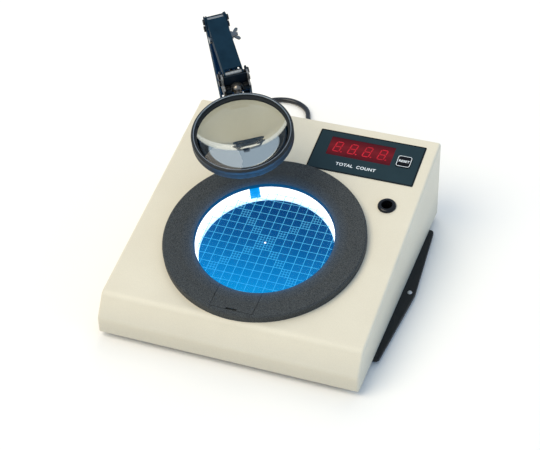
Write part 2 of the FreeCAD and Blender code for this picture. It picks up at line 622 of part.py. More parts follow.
def make_upper_arm():
    length, _ = direction(ELBOW_UPPER_PIN, YOKE_UPPER_PIN)
    frame = link_frame(ELBOW_UPPER_PIN, YOKE_UPPER_PIN)
    inner = UPPER_ARM_HALF - CHANNEL_WALL
    top = 6.4
    end = 5.7
    shoulder = 14.0
    deep = -12.0
    flanges = []
    for low, high in ((-UPPER_ARM_HALF, -inner), (inner, UPPER_ARM_HALF)):
        outline = [(-end, -end), (shoulder - 4, -end), (shoulder, deep), (length - shoulder, deep),
                   (length - shoulder + 4, -end), (length + end, -end), (length + end, top), (-end, top)]
        flanges.append(side_plate(outline, [5.0, 2, 2, 2, 2, 5.0, 5.0, 5.0], low, high))
    web = box((3, length - 3), (-UPPER_ARM_HALF, UPPER_ARM_HALF), (top - CHANNEL_WALL, top))
    channel = fused(flanges + [web])
    long_edges = [e for e in channel.Edges
                  if e.BoundBox.XLength > length - 40 and abs(e.BoundBox.ZMin - top) < 0.01
                  and abs(abs(e.BoundBox.YMin) - UPPER_ARM_HALF) < 0.01]
    channel = channel.makeFillet(1.2, long_edges) if long_edges else channel
    channel = channel.cut([cross_pin(PIN_R + RUNNING_GAP, (0, 0), -20, 20),
                           cross_pin(PIN_R + RUNNING_GAP, (length, 0), -20, 20),
                           cross_pin(PIN_R, (CLAMP_REACH, -CLAMP_DROP), -20, 20)])
    add("upper_arm", channel, frame)
    clamp = (CLAMP_REACH, -CLAMP_DROP)
    fin_half = 1.5
    bolt_end = UPPER_ARM_HALF + 8.5
    bolt = [cross_pin(PIN_R, clamp, -UPPER_ARM_HALF - 2.8, bolt_end),
            cross_pin(3.8, clamp, -UPPER_ARM_HALF - 2.8, -UPPER_ARM_HALF)]
    for low, high in ((-inner, -fin_half - RUNNING_GAP), (fin_half + RUNNING_GAP, inner)):
        bolt.append(cross_pin(6.0, clamp, low, high))
    add("clamp_bolt", fused(bolt), frame)
    make_wing_nut(frame, clamp)
    make_parallel_link(fin_half)


def make_wing_nut(frame, clamp):
    low = UPPER_ARM_HALF + 0.2
    hub = fused([cross_pin(4.6, clamp, low, low + 2.2), cross_pin(3.4, clamp, low + 2.2, low + 6.0)])
    wings = []
    for side in (-1, 1):
        corners = [(2.4, 1.9), (9.0, 7.6), (7.6, 10.4), (4.4, 9.0), (2.4, 5.4)]
        corners = [(clamp[0] + side * out, low + along) for out, along in corners]
        wings.append(plate(corners, [0.2, 1.6, 1.0, 1.2, 0.6], clamp[1] - 0.8, clamp[1] + 0.8))
    nut = fused([hub] + wings).cut(cross_pin(PIN_R + RUNNING_GAP, clamp, low - 1, low + 20))
    add("wing_nut", nut, frame)


def make_parallel_link(fin_half):
    length, _ = direction(ELBOW_LOWER_PIN, YOKE_LOWER_PIN)
    frame = link_frame(ELBOW_LOWER_PIN, YOKE_LOWER_PIN)
    offset = Vector(0, 0, ELBOW_UPPER_PIN[1] - ELBOW_LOWER_PIN[1])
    angle = math.radians(direction(ELBOW_LOWER_PIN, YOKE_LOWER_PIN)[1])
    clamp_u = CLAMP_REACH + offset.z * math.sin(angle)
    clamp_n = -CLAMP_DROP + offset.z * math.cos(angle)
    outline = [(-4.4, -4.4), (length + 4.4, -4.4), (length + 4.4, 4.4), (clamp_u + 20, 4.0),
               (clamp_u + 15, clamp_n + 5.2), (clamp_u - 13.5, clamp_n + 5.2),
               (clamp_u - 15, 4.0), (-4.4, 4.4)]
    bar = side_plate(outline, [4.2, 4.2, 4.2, 3, 2, 1.5, 1.5, 4.2], -fin_half, fin_half)
    slot = box((clamp_u - 9.2, clamp_u + 9.2), (-5, 5), (clamp_n - 4.8, clamp_n + 2.4))
    bar = bar.cut([slot, cross_pin(PIN_R + RUNNING_GAP, (0, 0), -20, 20),
                   cross_pin(PIN_R + 0.5, (length, 0), -20, 20)])
    add("parallel_link", bar, frame)


def make_pins():
    inner = UPPER_ARM_HALF - CHANNEL_WALL - 0.3
    elbow = [pin_with_heads(ELBOW_UPPER_PIN, LOWER_ARM_HALF, SLEEVE_R, inner),
             pin_with_heads(ELBOW_LOWER_PIN, LOWER_ARM_HALF, 0, 0)]
    add("elbow_pins", Part.makeCompound(elbow), ARM_FRAME)
    yoke = [pin_with_heads(YOKE_UPPER_PIN, YOKE_HALF, SLEEVE_R, inner),
            pin_with_heads(YOKE_LOWER_PIN, YOKE_HALF, 0, 0)]
    add("yoke_pins", Part.makeCompound(yoke), ARM_FRAME)


# ---------------------------------------------------------------- lens
def ball_sphere(radius):
    """A sphere about the centre of the ball joint."""
    return Part.makeSphere(radius, Vector(BALL[0], 0, BALL[1]))


def make_yoke():
    inner = YOKE_HALF - WALL
    ball = ball_sphere(BALL_R + RUNNING_GAP)
    stem_way = box((BALL[0], YOKE_FRONT + 5), (-6.5, 6.5), (80, 100))
    sides = []
    for low, high in ((-YOKE_HALF, -inner), (inner, YOKE_HALF)):
        outline = [(33, 86), (33, 108.4), (48.6, 109.6), (50.6, 98),
                   (YOKE_FRONT, 97), (YOKE_FRONT, 84), (40, 84)]
        sides.append(side_plate(outline, [1.5, 5, 2.5, 2, 1.5, 1.5, 1.5], low, high))
    floor = box((43, YOKE_FRONT), (-YOKE_HALF, YOKE_HALF), FLOOR_LEVEL)
    leaning = [(43.4, 92.7), (45.0, 92.7), (48.2, 108.8), (46.6, 108.8)]
    wall = side_plate(leaning, [0] * 4, -inner - 1, inner + 1).cut(ball_sphere(SOCKET_R + 0.2))
    yoke = fused(sides + [floor, wall]).cut([ball, stem_way])
    yoke = yoke.cut([cross_pin(PIN_R, point, -25, 25) for point in (YOKE_UPPER_PIN, YOKE_LOWER_PIN)])
    dome = ball_sphere(SOCKET_R).common(box((40, YOKE_FRONT), (-10, 10), (CAP_LEVEL[0], 100)))
    cap = fused([box((43.4, YOKE_FRONT), (-inner + 0.1, inner - 0.1), CAP_LEVEL), dome])
    cap = cap.cut([ball, stem_way])
    screws = []
    for side in (-1, 1):
        spot = (YOKE_SCREW[0], side * YOKE_SCREW[1])
        yoke = yoke.cut(upright(1.5, spot, 80, 90))
        cap = cap.cut(upright(1.5, spot, 89, 95))
        head = upright(2.9, spot, CAP_LEVEL[1], CAP_LEVEL[1] + 2.0)
        recess = Part.makeBox(1.0, 5.0, 2, Vector(spot[0] - 0.5, spot[1] - 2.5, CAP_LEVEL[1] + 1.1))
        screws.append(fused([head, upright(1.5, spot, FLOOR_LEVEL[0] - 2, CAP_LEVEL[1])]).cut(recess))
    add("lens_yoke", yoke, ARM_FRAME)
    add("socket_cap", cap, ARM_FRAME)
    add("yoke_screws", Part.makeCompound(screws), ARM_FRAME)


def cap_solid(radius, height, level, up):
    """A shallow spherical cap on a circle of the given radius."""
    sphere_r = (radius ** 2 + height ** 2) / (2 * height)
    centre_z = level - up * (sphere_r - height)
    sphere = Part.makeSphere(sphere_r, Vector(LENS_DISTANCE, 0, centre_z))
    low, high = (level, level + height + 1) if up > 0 else (level - height - 1, level)
    return sphere.common(upright(radius + 1, (LENS_DISTANCE, 0), low, high))


def make_lens():
    centre = (LENS_DISTANCE, 0)
    half = LENS_RING_HEIGHT / 2
    ring = turned([(49.8, -half), (LENS_RING_R - 1.2, -half), (LENS_RING_R, -half + 1.2),
                   (LENS_RING_R, half - 2.0), (LENS_RING_R - 1.5, half - 0.3), (LENS_RING_R - 2.2, half),
                   (52.6, half), (52.6, 3.2), (51.8, 2.4), (51.8, -3.85), (49.8, -4.65)], centre)
    pin_start = LENS_DISTANCE - LENS_RING_R
    bore = cylinder(2.4 + RUNNING_GAP, (pin_start - 1, 0, 0), (pin_start + 3.0, 0, 0))
    add("lens_ring", ring.cut(bore), LENS_FRAME)
    edge_low = -3.6
    edge_high = -0.9
    body = upright(LENS_R, centre, edge_low, edge_high)
    bulges = [cap_solid(LENS_R, UPPER_BULGE, edge_high, 1), cap_solid(LENS_R, LOWER_BULGE, edge_low, -1)]
    add("lens", fused([body] + bulges), LENS_FRAME)
    retainer = turned([(49.8, 0.25), (51.7, -0.6), (51.7, 2.3), (50.4, 2.3), (49.8, 1.4)], centre)
    notches = []
    for angle in (70, 250):
        spot = around(50.5, angle, centre)
        notches.append(box((spot[0] - 1.2, spot[0] + 1.2), (spot[1] - 1.6, spot[1] + 1.6), (1.0, 4)))
    add("lens_retainer", retainer.cut(notches), LENS_FRAME)
    ball = Part.makeSphere(BALL_R)
    stem = cylinder(2.8, (0, 0, 0), (pin_start - 1.6, 0, 0))
    collar = cylinder(4.4, (pin_start - 2.6, 0, 0), (pin_start - 0.35, 0, 0))
    pivot = cylinder(2.4, (pin_start - 1.6, 0, 0), (pin_start + 2.6, 0, 0))
    add("ball_stem", fused([ball, stem, collar, pivot]), LENS_FRAME)


# ---------------------------------------------------------------- cord
CORD_R = CORD_DIAMETER / 2
TABLE_CORD_Z = -FOOT_HEIGHT + CORD_R
CORD_ROUTE = [
    (GLAND_X, REAR_FACE + GLAND_LENGTH, GLAND_Z),
    (GLAND_X, 370.0, GLAND_Z),
    (17.0, 391.0, 10.0),
    (0.0, 408.0, TABLE_CORD_Z),
    (-29.0, 424.0, TABLE_CORD_Z),
    (-59.0, 445.0, TABLE_CORD_Z),
    (-68.0, 474.0, TABLE_CORD_Z),
    (-95.0, 488.0, TABLE_CORD_Z),
    (-124.0, 479.0, TABLE_CORD_Z),
    (-138.0, 452.0, TABLE_CORD_Z),
    (-138.0, 424.0, TABLE_CORD_Z),
    (COIL_CENTRE[0] - COIL_TURN_RADII[-1], 400.0, TABLE_CORD_Z),
]
PLUG_LEVEL = -FOOT_HEIGHT + 11.0
PLUG_Y = COIL_CENTRE[1] - COIL_TURN_RADII[-1]
PLUG_X = COIL_CENTRE[0] + TAIL_LENGTH


def cord_radii(points):
    """Arc radius at each inner point: 0.45 of the shorter run over the tangent of half the turn."""
    radii = []
    for before, corner, after in zip(points, points[1:], points[2:]):
        half_turn = (corner - before).getAngle(after - corner) / 2
        shorter = min((corner - before).Length, (after - corner).Length)
        radii.append(0.45 * shorter / math.tan(half_turn))
    return radii


def cord_tube(points):
    """A round tube along straight runs joined by tangent arcs; its length is returned too."""
    edges = []
    reached = points[0]
    for before, corner, after in zip(points, points[1:], points[2:]):
        reach = 0.45 * min((corner - before).Length, (after - corner).Length)
        start, middle, end = corner_arc(before, corner, after, reach)
        edges.append(Part.LineSegment(reached, start).toShape())
        edges.append(Part.Arc(start, middle, end).toShape())
        reached = end
    edges.append(Part.LineSegment(reached, points[-1]).toShape())
    path = Part.Wire(edges)
    section = Part.Wire(Part.makeCircle(CORD_R, points[0], points[1] - points[0]))
    return path.makePipeShell([section], True, True), path.Length


def make_cord():
    gland = fused([
        cylinder(9.0, (GLAND_X, REAR_FACE, GLAND_Z), (GLAND_X, REAR_FACE + 3, GLAND_Z)),
        cylinder(6.0, (GLAND_X, REAR_FACE - 8, GLAND_Z), (GLAND_X, REAR_FACE, GLAND_Z)),
        cone(6.4, 4.2, (GLAND_X, REAR_FACE + 3, GLAND_Z), (GLAND_X, REAR_FACE + GLAND_LENGTH, GLAND_Z))])
    add("cord_gland", gland, CASE_FRAME)
    route = [Vector(*point) for point in CORD_ROUTE]
    tube, length = cord_tube(route)
    tail_start = (COIL_CENTRE[0], PLUG_Y, TABLE_CORD_Z + CORD_DIAMETER * (COIL_LAYERS - 1))
    tail = cylinder(CORD_R, tail_start, (PLUG_X, PLUG_Y, PLUG_LEVEL))
    add("power_cord", Part.makeCompound([tube, tail]), CASE_FRAME)
    section_area = math.pi * CORD_R ** 2
    print("cord radii", [round(r, 1) for r in cord_radii(route)], "smallest allowed", 5 * CORD_DIAMETER)
    print("cord length", round(length, 1), "volume over section and length",
          round(tube.Volume / (section_area * length), 4))
    make_coil()
    make_plug()


def make_coil():
    inner = COIL_TURN_RADII[0] - CORD_R
    outer = COIL_TURN_RADII[-1] + CORD_R
    low = -FOOT_HEIGHT
    high = low + CORD_DIAMETER * COIL_LAYERS
    soft = CORD_R - 0.5
    profile = [(inner + soft, low), (outer - soft, low), (outer, low + soft), (outer, high - soft - 1),
               (outer - soft, high), (inner + soft, high), (inner, high - soft - 1), (inner, low + soft)]
    add("cord_coil", turned(profile, COIL_CENTRE), CASE_FRAME)
    middle = (inner + outer) / 2
    half_width = (outer - inner) / 2 + 1.3
    tie_x = (COIL_CENTRE[0] + middle - half_width, COIL_CENTRE[0] + middle + half_width)
    tie_y = (COIL_CENTRE[1] - 4, COIL_CENTRE[1] + 4)
    band = box(tie_x, tie_y, (low, high + 1.3))
    hollow = turned(profile, COIL_CENTRE)
    add("cord_tie", band.cut(hollow), CASE_FRAME)


def make_plug():
    body_x = PLUG_X + 30
    relief = cone(4.0, 6.0, (PLUG_X, PLUG_Y, PLUG_LEVEL), (body_x, PLUG_Y, PLUG_LEVEL))
    body = plate([(body_x, PLUG_Y - 9), (body_x + 14, PLUG_Y - 13), (body_x + 30, PLUG_Y - 13),
                  (body_x + 30, PLUG_Y + 13), (body_x + 14, PLUG_Y + 13), (body_x, PLUG_Y + 9)],
                 [4, 8, 3, 3, 8, 4], PLUG_LEVEL - 11, PLUG_LEVEL + 11)
    rim = [e for e in body.Edges if e.BoundBox.ZLength < 0.01]
    body = body.makeFillet(2.0, rim)
    add("plug_body", fused([relief, body]), CASE_FRAME)
    face = body_x + 30
    blades = [box((face, face + 16), (PLUG_Y + side * 6.3 - 0.8, PLUG_Y + side * 6.3 + 0.8),
                  (PLUG_LEVEL - 0.2, PLUG_LEVEL + 6.0)) for side in (-1, 1)]
    earth = cylinder(2.4, (face, PLUG_Y, PLUG_LEVEL - 6), (face + 19, PLUG_Y, PLUG_LEVEL - 6))
    add("plug_pins", Part.makeCompound(blades + [earth]), CASE_FRAME)


# ---------------------------------------------------------------- build
def export():
    os.makedirs("parts", exist_ok=True)
    for name, shape in parts.items():
        if not shape.isValid():
            print("invalid shape:", name)
        shape.exportStep("parts/" + name + ".step")
    print(len(parts), "parts written")


make_top_cover()
make_rear_panel()
make_panel_screws()
make_base()
make_side_grips()
make_ring()
make_stage()
make_lamp()
make_stage_supports()
make_display()
make_pen_holder()
make_boards()
make_switch()
make_fuse()
make_arm_base()
make_lower_arm()
make_upper_arm()
make_pins()
make_yoke()
make_lens()
make_cord()
export()
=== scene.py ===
"""Looks of the bench-top colony counter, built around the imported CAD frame.

Lengths in the driving values are millimetres, as in the CAD source; MM turns them into metres.
Working frames: the case frame (y = 0 at the case's front, z = 0 at its lower edge), the slope
frame (x, v, w) on the sloping top, the arm frame (a, e, w) and the lens frame on the ball joint.
"""

import math

import bmesh
import bpy
from mathutils import Matrix, Vector


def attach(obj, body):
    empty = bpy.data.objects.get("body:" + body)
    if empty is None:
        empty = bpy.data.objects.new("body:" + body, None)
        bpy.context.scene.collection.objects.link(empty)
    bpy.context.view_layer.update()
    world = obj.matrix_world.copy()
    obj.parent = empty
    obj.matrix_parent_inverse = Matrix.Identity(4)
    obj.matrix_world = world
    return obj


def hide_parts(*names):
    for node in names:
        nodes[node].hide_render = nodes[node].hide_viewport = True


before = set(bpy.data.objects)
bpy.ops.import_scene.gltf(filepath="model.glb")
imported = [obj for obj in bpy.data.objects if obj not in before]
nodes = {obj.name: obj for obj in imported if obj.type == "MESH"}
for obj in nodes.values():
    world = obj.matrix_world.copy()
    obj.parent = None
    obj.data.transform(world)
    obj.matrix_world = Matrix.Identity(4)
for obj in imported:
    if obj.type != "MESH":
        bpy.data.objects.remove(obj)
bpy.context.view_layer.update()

MM = 0.001

# ------------------------------------------------------- driving values (mm, degrees, plain ratios)
# case
CASE_DEPTH = 314.6
ORIGIN_Y = 163.3
FOOT_HEIGHT = 8.0
FRONT_BEND = (17.0, 43.0)
SLOPE_DEG = 10.8
# below this height the cream is darkened with painted shade near the table
LOW_SHADE_HEIGHT = 35.0

# well, with levels measured from the sloping top
RING_CENTRE_V = 113.0
WELL_R = 76.8
GLASS_TOP = -4.2
FIELD_TOP = -19.0
# FIELD_REACH and FIELD_SWAY shape the painted glow of the field and of the grid print
FIELD_REACH = 78.0
FIELD_SWAY = 6.0
# height where the wall's painted blue light from the field gives way to white
WALL_BLUE_CAST_TOP = 2.0
RING_GLOW_WIDTH = 16.0
GLOW_LIGHT_LEVEL = 7.0

# grid printed on the stage glass
GRID_PITCH = 10.0
GRID_CELLS = 8
FINE_CELLS = 5
FINE_PARTS = 3
LINE_WIDTH = 0.56
FINE_WIDTH = 0.36
SHORTEST_LINE = 1.0
LINE_REACH = WELL_R - 1.2
LINE_LEVELS = (GLASS_TOP + 0.02, GLASS_TOP + 0.08)
DOT_R = 1.1
DOT_SEGMENTS = 12

# label, window and reset button
PRINT_THICKNESS = 0.05
LABEL_X = (8.5, 134.0)
LABEL_V = (228.5, 290.0)
LABEL_TOP = 0.6
BORDER_INSETS = (0.1, 1.6)
BORDER_RADII = (1.2, 0.8)
WINDOW_V = (253.0, 281.0)
WINDOW_FACE = 0.4
BUTTON_CENTRE = (114.9, 262.2)
BUTTON_HALF = 8.3
BUTTON_TOP = 1.7
OUTLINE_INSETS = (0.3, 0.9)
OUTLINE_RADII = (2.7, 2.2)

# lettering, whose levels are the middle planes of the thin letters
RESET_HEIGHT = 4.4
RESET_LEVEL = BUTTON_TOP + 0.02
COUNT_CENTRE = (64.0, 241.0)
COUNT_HEIGHT = 6.0
COUNT_LEVEL = LABEL_TOP + 0.05
LETTER_SPACING = 1.08
LETTER_HALF_THICKNESS = 0.03
LETTER_SWELL = 0.12

# digits, each with a point beyond its right edge
DIGIT_COUNT = 4
FIRST_DIGIT_X = 35.4
DIGIT_PITCH = 17.6
DIGIT_WIDTH = 8.9
DIGIT_HEIGHT = 15.9
DIGIT_SLANT = 0.16
DIGIT_LEVELS = (WINDOW_FACE + 0.01, WINDOW_FACE + 0.05)
STROKE = 1.35
BAR_GAP = 0.35
TIP_GAP = 0.4
POINT_OFFSET = 2.0
POINT_SIZE = 1.8

# arm, with _FROM values for where a stretch with another finish starts
ARM_BASE = (-97.9, 285.0)
ARM_AZIMUTH_DEG = 34.0
PIN_HEAD_FROM = 11.5
CHEEK_FROM = 13.3
BARE_FROM = 42.5
CUT_EDGE_FACING = 0.6
BALL = (50.5, 91.0)
SOCKET_R = 7.4
WORN_R = SOCKET_R * 1.01

# magnifier
LENS_DISTANCE = 67.0
LENS_YAW_DEG = -9.3
LENS_PITCH_DEG = 4.9
LENS_R = 51.5
LENS_EDGE_LEVELS = (-3.6, -0.9)
UPPER_BULGE = 12.0
LOWER_BULGE = 9.0
LENS_STEPS = 24
LENS_INDEX = 1.74
RING_R = 56.0
RING_HALF = 6.5
GROOVE_LEVELS = (-3.2, -1.4, 0.4)
GROOVE_DEPTH = 0.35
RIM_BORE_R = 52.6
LENS_BORE_R = 51.8
LIP_R = 49.8
ROUND_SEGMENTS = 160

# power lead, whose route repeats the points of the CAD source up to the one where the coil begins
CORD_DIAMETER = 6.5
CORD_R = CORD_DIAMETER / 2
TABLE_CORD_Z = -FOOT_HEIGHT + CORD_R
GLAND_X = 24.0
GLAND_Z = 22.0
GLAND_LENGTH = 31.0
PLUG_LEVEL = 3.0
CORD_ROUTE = [
    (GLAND_X, CASE_DEPTH + GLAND_LENGTH, GLAND_Z),
    (GLAND_X, 370.0, GLAND_Z),
    (17.0, 391.0, 10.0),
    (0.0, 408.0, TABLE_CORD_Z),
    (-29.0, 424.0, TABLE_CORD_Z),
    (-59.0, 445.0, TABLE_CORD_Z),
    (-68.0, 474.0, TABLE_CORD_Z),
    (-95.0, 488.0, TABLE_CORD_Z),
    (-124.0, 479.0, TABLE_CORD_Z),
    (-138.0, 452.0, TABLE_CORD_Z),
    (-138.0, 424.0, TABLE_CORD_Z),
]
COIL_CENTRE = (-94.0, 385.0)
COIL_TURN_RADII = (42.5, 36.0, 29.5)
TURN_POINTS = 16
TAIL_REACH = (14.0, 36.0)
TAIL_LEVELS = (2.2, PLUG_LEVEL)

# camera, in the case frame
CAMERA_POSITION = (457.2, -1036.5, 1102.4)
CAMERA_FORWARD = (-0.28, 0.7237, -0.6308)
CAMERA_UP = (-0.195, 0.6006, 0.7755)
CAMERA_LENS = 99.26
SENSOR_WIDTH = 36.0

FLOOR_SIZE = 14000.0

# ---------------------------------------------------------------- frames
CASE_FRAME = Matrix.Translation(Vector((0, -ORIGIN_Y, FOOT_HEIGHT)) * MM)
SLOPE_FRAME = (CASE_FRAME @ Matrix.Translation(Vector((0, *FRONT_BEND)) * MM)
               @ Matrix.Rotation(math.radians(SLOPE_DEG), 4, "X"))
WELL_FRAME = SLOPE_FRAME @ Matrix.Translation(Vector((0, RING_CENTRE_V, 0)) * MM)
ARM_FRAME = (SLOPE_FRAME @ Matrix.Translation(Vector((*ARM_BASE, 0)) * MM)
             @ Matrix.Rotation(math.radians(ARM_AZIMUTH_DEG - 90), 4, "Z"))
BALL_FRAME = (ARM_FRAME @ Matrix.Translation(Vector((BALL[0], 0, BALL[1])) * MM)
              @ Matrix.Rotation(math.radians(LENS_YAW_DEG), 4, "Z")
              @ Matrix.Rotation(math.radians(LENS_PITCH_DEG), 4, "Y"))
LENS_FRAME = BALL_FRAME @ Matrix.Translation(Vector((LENS_DISTANCE, 0, 0)) * MM)


def case_point(x, y, z):
    """A place in the case frame, in millimetres, as a place in the scene."""
    return CASE_FRAME @ (Vector((x, y, z)) * MM)


# ---------------------------------------------------------------- camera and light
def make_camera():
    data = bpy.data.cameras.new("camera")
    data.lens = CAMERA_LENS
    data.sensor_width = SENSOR_WIDTH
    camera = bpy.data.objects.new("camera", data)
    forward = Vector(CAMERA_FORWARD).normalized()
    right = forward.cross(Vector(CAMERA_UP)).normalized()
    up = right.cross(forward)
    turn = Matrix((right, up, -forward)).transposed().to_4x4()
    camera.matrix_world = Matrix.Translation(case_point(*CAMERA_POSITION)) @ turn
    bpy.context.scene.collection.objects.link(camera)
    bpy.context.scene.camera = camera


def area_light(name, position, target, size, power, colour):
    data = bpy.data.lights.new(name, "AREA")
    data.shape = "DISK"
    data.size = size
    data.energy = power
    data.color = colour
    light = bpy.data.objects.new(name, data)
    place = Vector(position)
    look = (Vector(target) - place).to_track_quat("-Z", "Y").to_matrix().to_4x4()
    light.matrix_world = Matrix.Translation(place) @ look
    bpy.context.scene.collection.objects.link(light)
    return light


def make_world():
    world = bpy.data.worlds.new("studio")
    world.use_nodes = True
    background = world.node_tree.nodes["Background"]
    background.inputs["Color"].default_value = (0.62, 0.78, 1.0, 1)
    background.inputs["Strength"].default_value = 0.70
    bpy.context.scene.world = world
    bpy.context.scene.view_settings.view_transform = "Standard"


def make_lights():
    """A warm key light, two weak fills and the blue light over the well, in metres and watts.

    Rays through glass don't see the lights, which keeps bright specks out of the lens.
    """
    key = area_light("key", (-1.2, -1.3, 2.6), (0, 0, 0.05), 2.6, 64.0, (1.0, 0.91, 0.74))
    rear = area_light("rear", (-0.2, 1.3, 1.3), (0, 0.1, 0.1), 1.4, 10, (1.0, 0.93, 0.80))
    side = area_light("side_fill", (1.25, -0.3, 0.45), (0.1, 0, 0.1), 0.8, 3, (0.2, 0.5, 1.0))
    lamp_place = WELL_FRAME @ (Vector((0, 0, GLOW_LIGHT_LEVEL)) * MM)
    lamp_target = WELL_FRAME @ Vector((0, 0, 1))
    glow = area_light("well_glow", lamp_place, lamp_target, 0.14, 1.4, (0.06, 0.4, 1.0))
    key.visible_transmission = False
    for light in (rear, side, glow):
        light.visible_camera = False
        light.visible_glossy = False
        light.visible_transmission = False


def make_floor():
    bpy.ops.mesh.primitive_plane_add(size=FLOOR_SIZE * MM, location=(0, 0, 0))
    floor = bpy.context.object
    floor.name = "floor"
    floor.data.materials.append(floor_material())


# ---------------------------------------------------------------- material helpers
class Shader:
    """A new node material with a Principled shader, and short ways to add nodes to it."""

    def __init__(self, name, **values):
        self.material = bpy.data.materials.new(name)
        self.material.use_nodes = True
        self.tree = self.material.node_tree
        self.surface = self.tree.nodes["Principled BSDF"]
        for socket, value in values.items():
            self.surface.inputs[socket.replace("_", " ")].default_value = value

    def node(self, kind, links=None, **settings):
        made = self.tree.nodes.new(kind)
        for key, value in settings.items():
            setattr(made, key, value)
        for socket, source in (links or {}).items():
            target = made.inputs[socket]
            if isinstance(source, bpy.types.NodeSocket):
                self.tree.links.new(source, target)
            else:
                target.default_value = source
        return made

    def link(self, source, socket):
        self.tree.links.new(source, self.surface.inputs[socket])

    def coordinates(self, frame_matrix=None):
        """Object coordinates in metres, measured in a working frame when one is given."""
        source = self.node("ShaderNodeTexCoord").outputs["Object"]
        if frame_matrix is None:
            return source
        location, rotation, _ = frame_matrix.decompose()
        return self.node("ShaderNodeMapping", {"Vector": source, "Location": location,
                                               "Rotation": rotation.to_euler()},
                         vector_type="TEXTURE").outputs["Vector"]

    def noise(self, scale, detail=4.0, vector=None):
        made = self.node("ShaderNodeTexNoise", {"Vector": vector or self.coordinates(),
                                                "Scale": scale, "Detail": detail, "Roughness": 0.55})
        return made.outputs["Fac"]

    def ramp(self, factor, stops):
        made = self.node("ShaderNodeValToRGB", {"Fac": factor})
        elements = made.color_ramp.elements
        while len(elements) < len(stops):
            elements.new(0.5)
        for element, (position, colour) in zip(elements, stops):
            element.position = position
            element.color = (*colour, 1)
        return made.outputs["Color"]

    def spread(self, value, low, high):
        """A 0..1 value spread over low..high."""
        limits = {"Value": value, "To Min": low, "To Max": high}
        return self.node("ShaderNodeMapRange", limits).outputs["Result"]

    def share(self, value, low, high):
        """How far a value lies between two limits, from 0 to 1."""
        limits = {"Value": value, "From Min": low, "From Max": high}
        return self.node("ShaderNodeMapRange", limits).outputs["Result"]

    def axis(self, vector, letter):
        return self.node("ShaderNodeSeparateXYZ", {"Vector": vector}).outputs[letter]

    def calculate(self, operation, *values):
        made = self.node("ShaderNodeMath", dict(enumerate(values)), operation=operation)
        return made.outputs[0]

    def calculate_vector(self, operation, output, *vectors):
        made = self.node("ShaderNodeVectorMath", dict(enumerate(vectors)), operation=operation)
        return made.outputs[output]

    def mix(self, factor, first, second, blend_type="MIX"):
        made = self.node("ShaderNodeMix", {"Factor": factor, "A": first, "B": second},
                         data_type="RGBA", blend_type=blend_type)
        return made.outputs["Result"]

    def bump(self, height, strength, distance):
        relief = {"Height": height, "Strength": strength, "Distance": distance}
        self.link(self.node("ShaderNodeBump", relief).outputs["Normal"], "Normal")


def mottled(name, colour, variation=0.15, patch_scale=60.0, grain_scale=1500.0, grain=0.25,
            roughness=0.5, roughness_spread=0.12, **values):
    """A moulded or painted surface: slow colour patches, fine grain in bump and roughness."""
    shader = Shader(name, **values)
    patches = shader.noise(patch_scale)
    low = tuple(max(0.0, c * (1 - variation)) for c in colour)
    high = tuple(min(1.0, c * (1 + variation)) for c in colour)
    shader.link(shader.ramp(patches, [(0.3, low), (0.7, high)]), "Base Color")
    grain_height = shader.noise(grain_scale, 2.0)
    shader.link(shader.spread(grain_height, roughness - roughness_spread / 2,
                              roughness + roughness_spread / 2), "Roughness")
    shader.bump(grain_height, grain, 0.0002)
    return shader.material


def brushed(name, colour, stretch, roughness=0.3):
    """Metal with fine scratches, packed closer along the axes where stretch is above 1."""
    shader = Shader(name, Metallic=1.0)
    stretched = shader.node("ShaderNodeMapping", {"Vector": shader.coordinates(), "Scale": stretch})
    scratches = shader.noise(900.0, 3.0, vector=stretched.outputs["Vector"])
    low = tuple(c * 0.88 for c in colour)
    shader.link(shader.ramp(scratches, [(0.3, low), (0.7, colour)]), "Base Color")
    shader.link(shader.spread(scratches, roughness * 0.7, roughness * 1.4), "Roughness")
    shader.bump(scratches, 0.15, 0.0001)
    return shader.material


def glowing(name, colour, strength, variation=0.1):
    """A surface that gives off slightly uneven light: its own light on the lamp tube and the digits,
    painted light on the lamp socket and the grid's centre dot.
    """
    shader = Shader(name, Roughness=0.4, Specular_IOR_Level=0.1, Emission_Strength=strength)
    uneven = shader.noise(60.0, 2.0)
    low = tuple(c * (1 - variation) for c in colour)
    dark = tuple(c * 0.3 for c in colour)
    shader.link(shader.ramp(uneven, [(0.3, dark), (0.7, low)]), "Base Color")
    shader.link(shader.ramp(uneven, [(0.3, low), (0.7, colour)]), "Emission Color")
    return shader.material


def paint_worn_enamel(shader, bare):
    """Dark enamel where the mask is 0 and worn bare metal where it is 1."""
    patches = shader.noise(60.0)
    enamel = shader.ramp(patches, [(0.3, (0.006, 0.010, 0.015)), (0.7, (0.009, 0.015, 0.022))])
    metal = shader.ramp(patches, [(0.3, (0.30, 0.27, 0.24)), (0.7, (0.42, 0.39, 0.35))])
    shader.link(shader.mix(bare, enamel, metal), "Base Color")
    shader.link(bare, "Metallic")
    shader.link(shader.spread(shader.noise(1100.0, 2.0), 0.32, 0.46), "Roughness")


# ---------------------------------------------------------------- materials: floor and case
def floor_material():
    return mottled("floor_white", (0.98, 0.925, 0.84), variation=0.01, patch_scale=2.0,
                   grain_scale=300.0, grain=0.02, roughness=0.8)


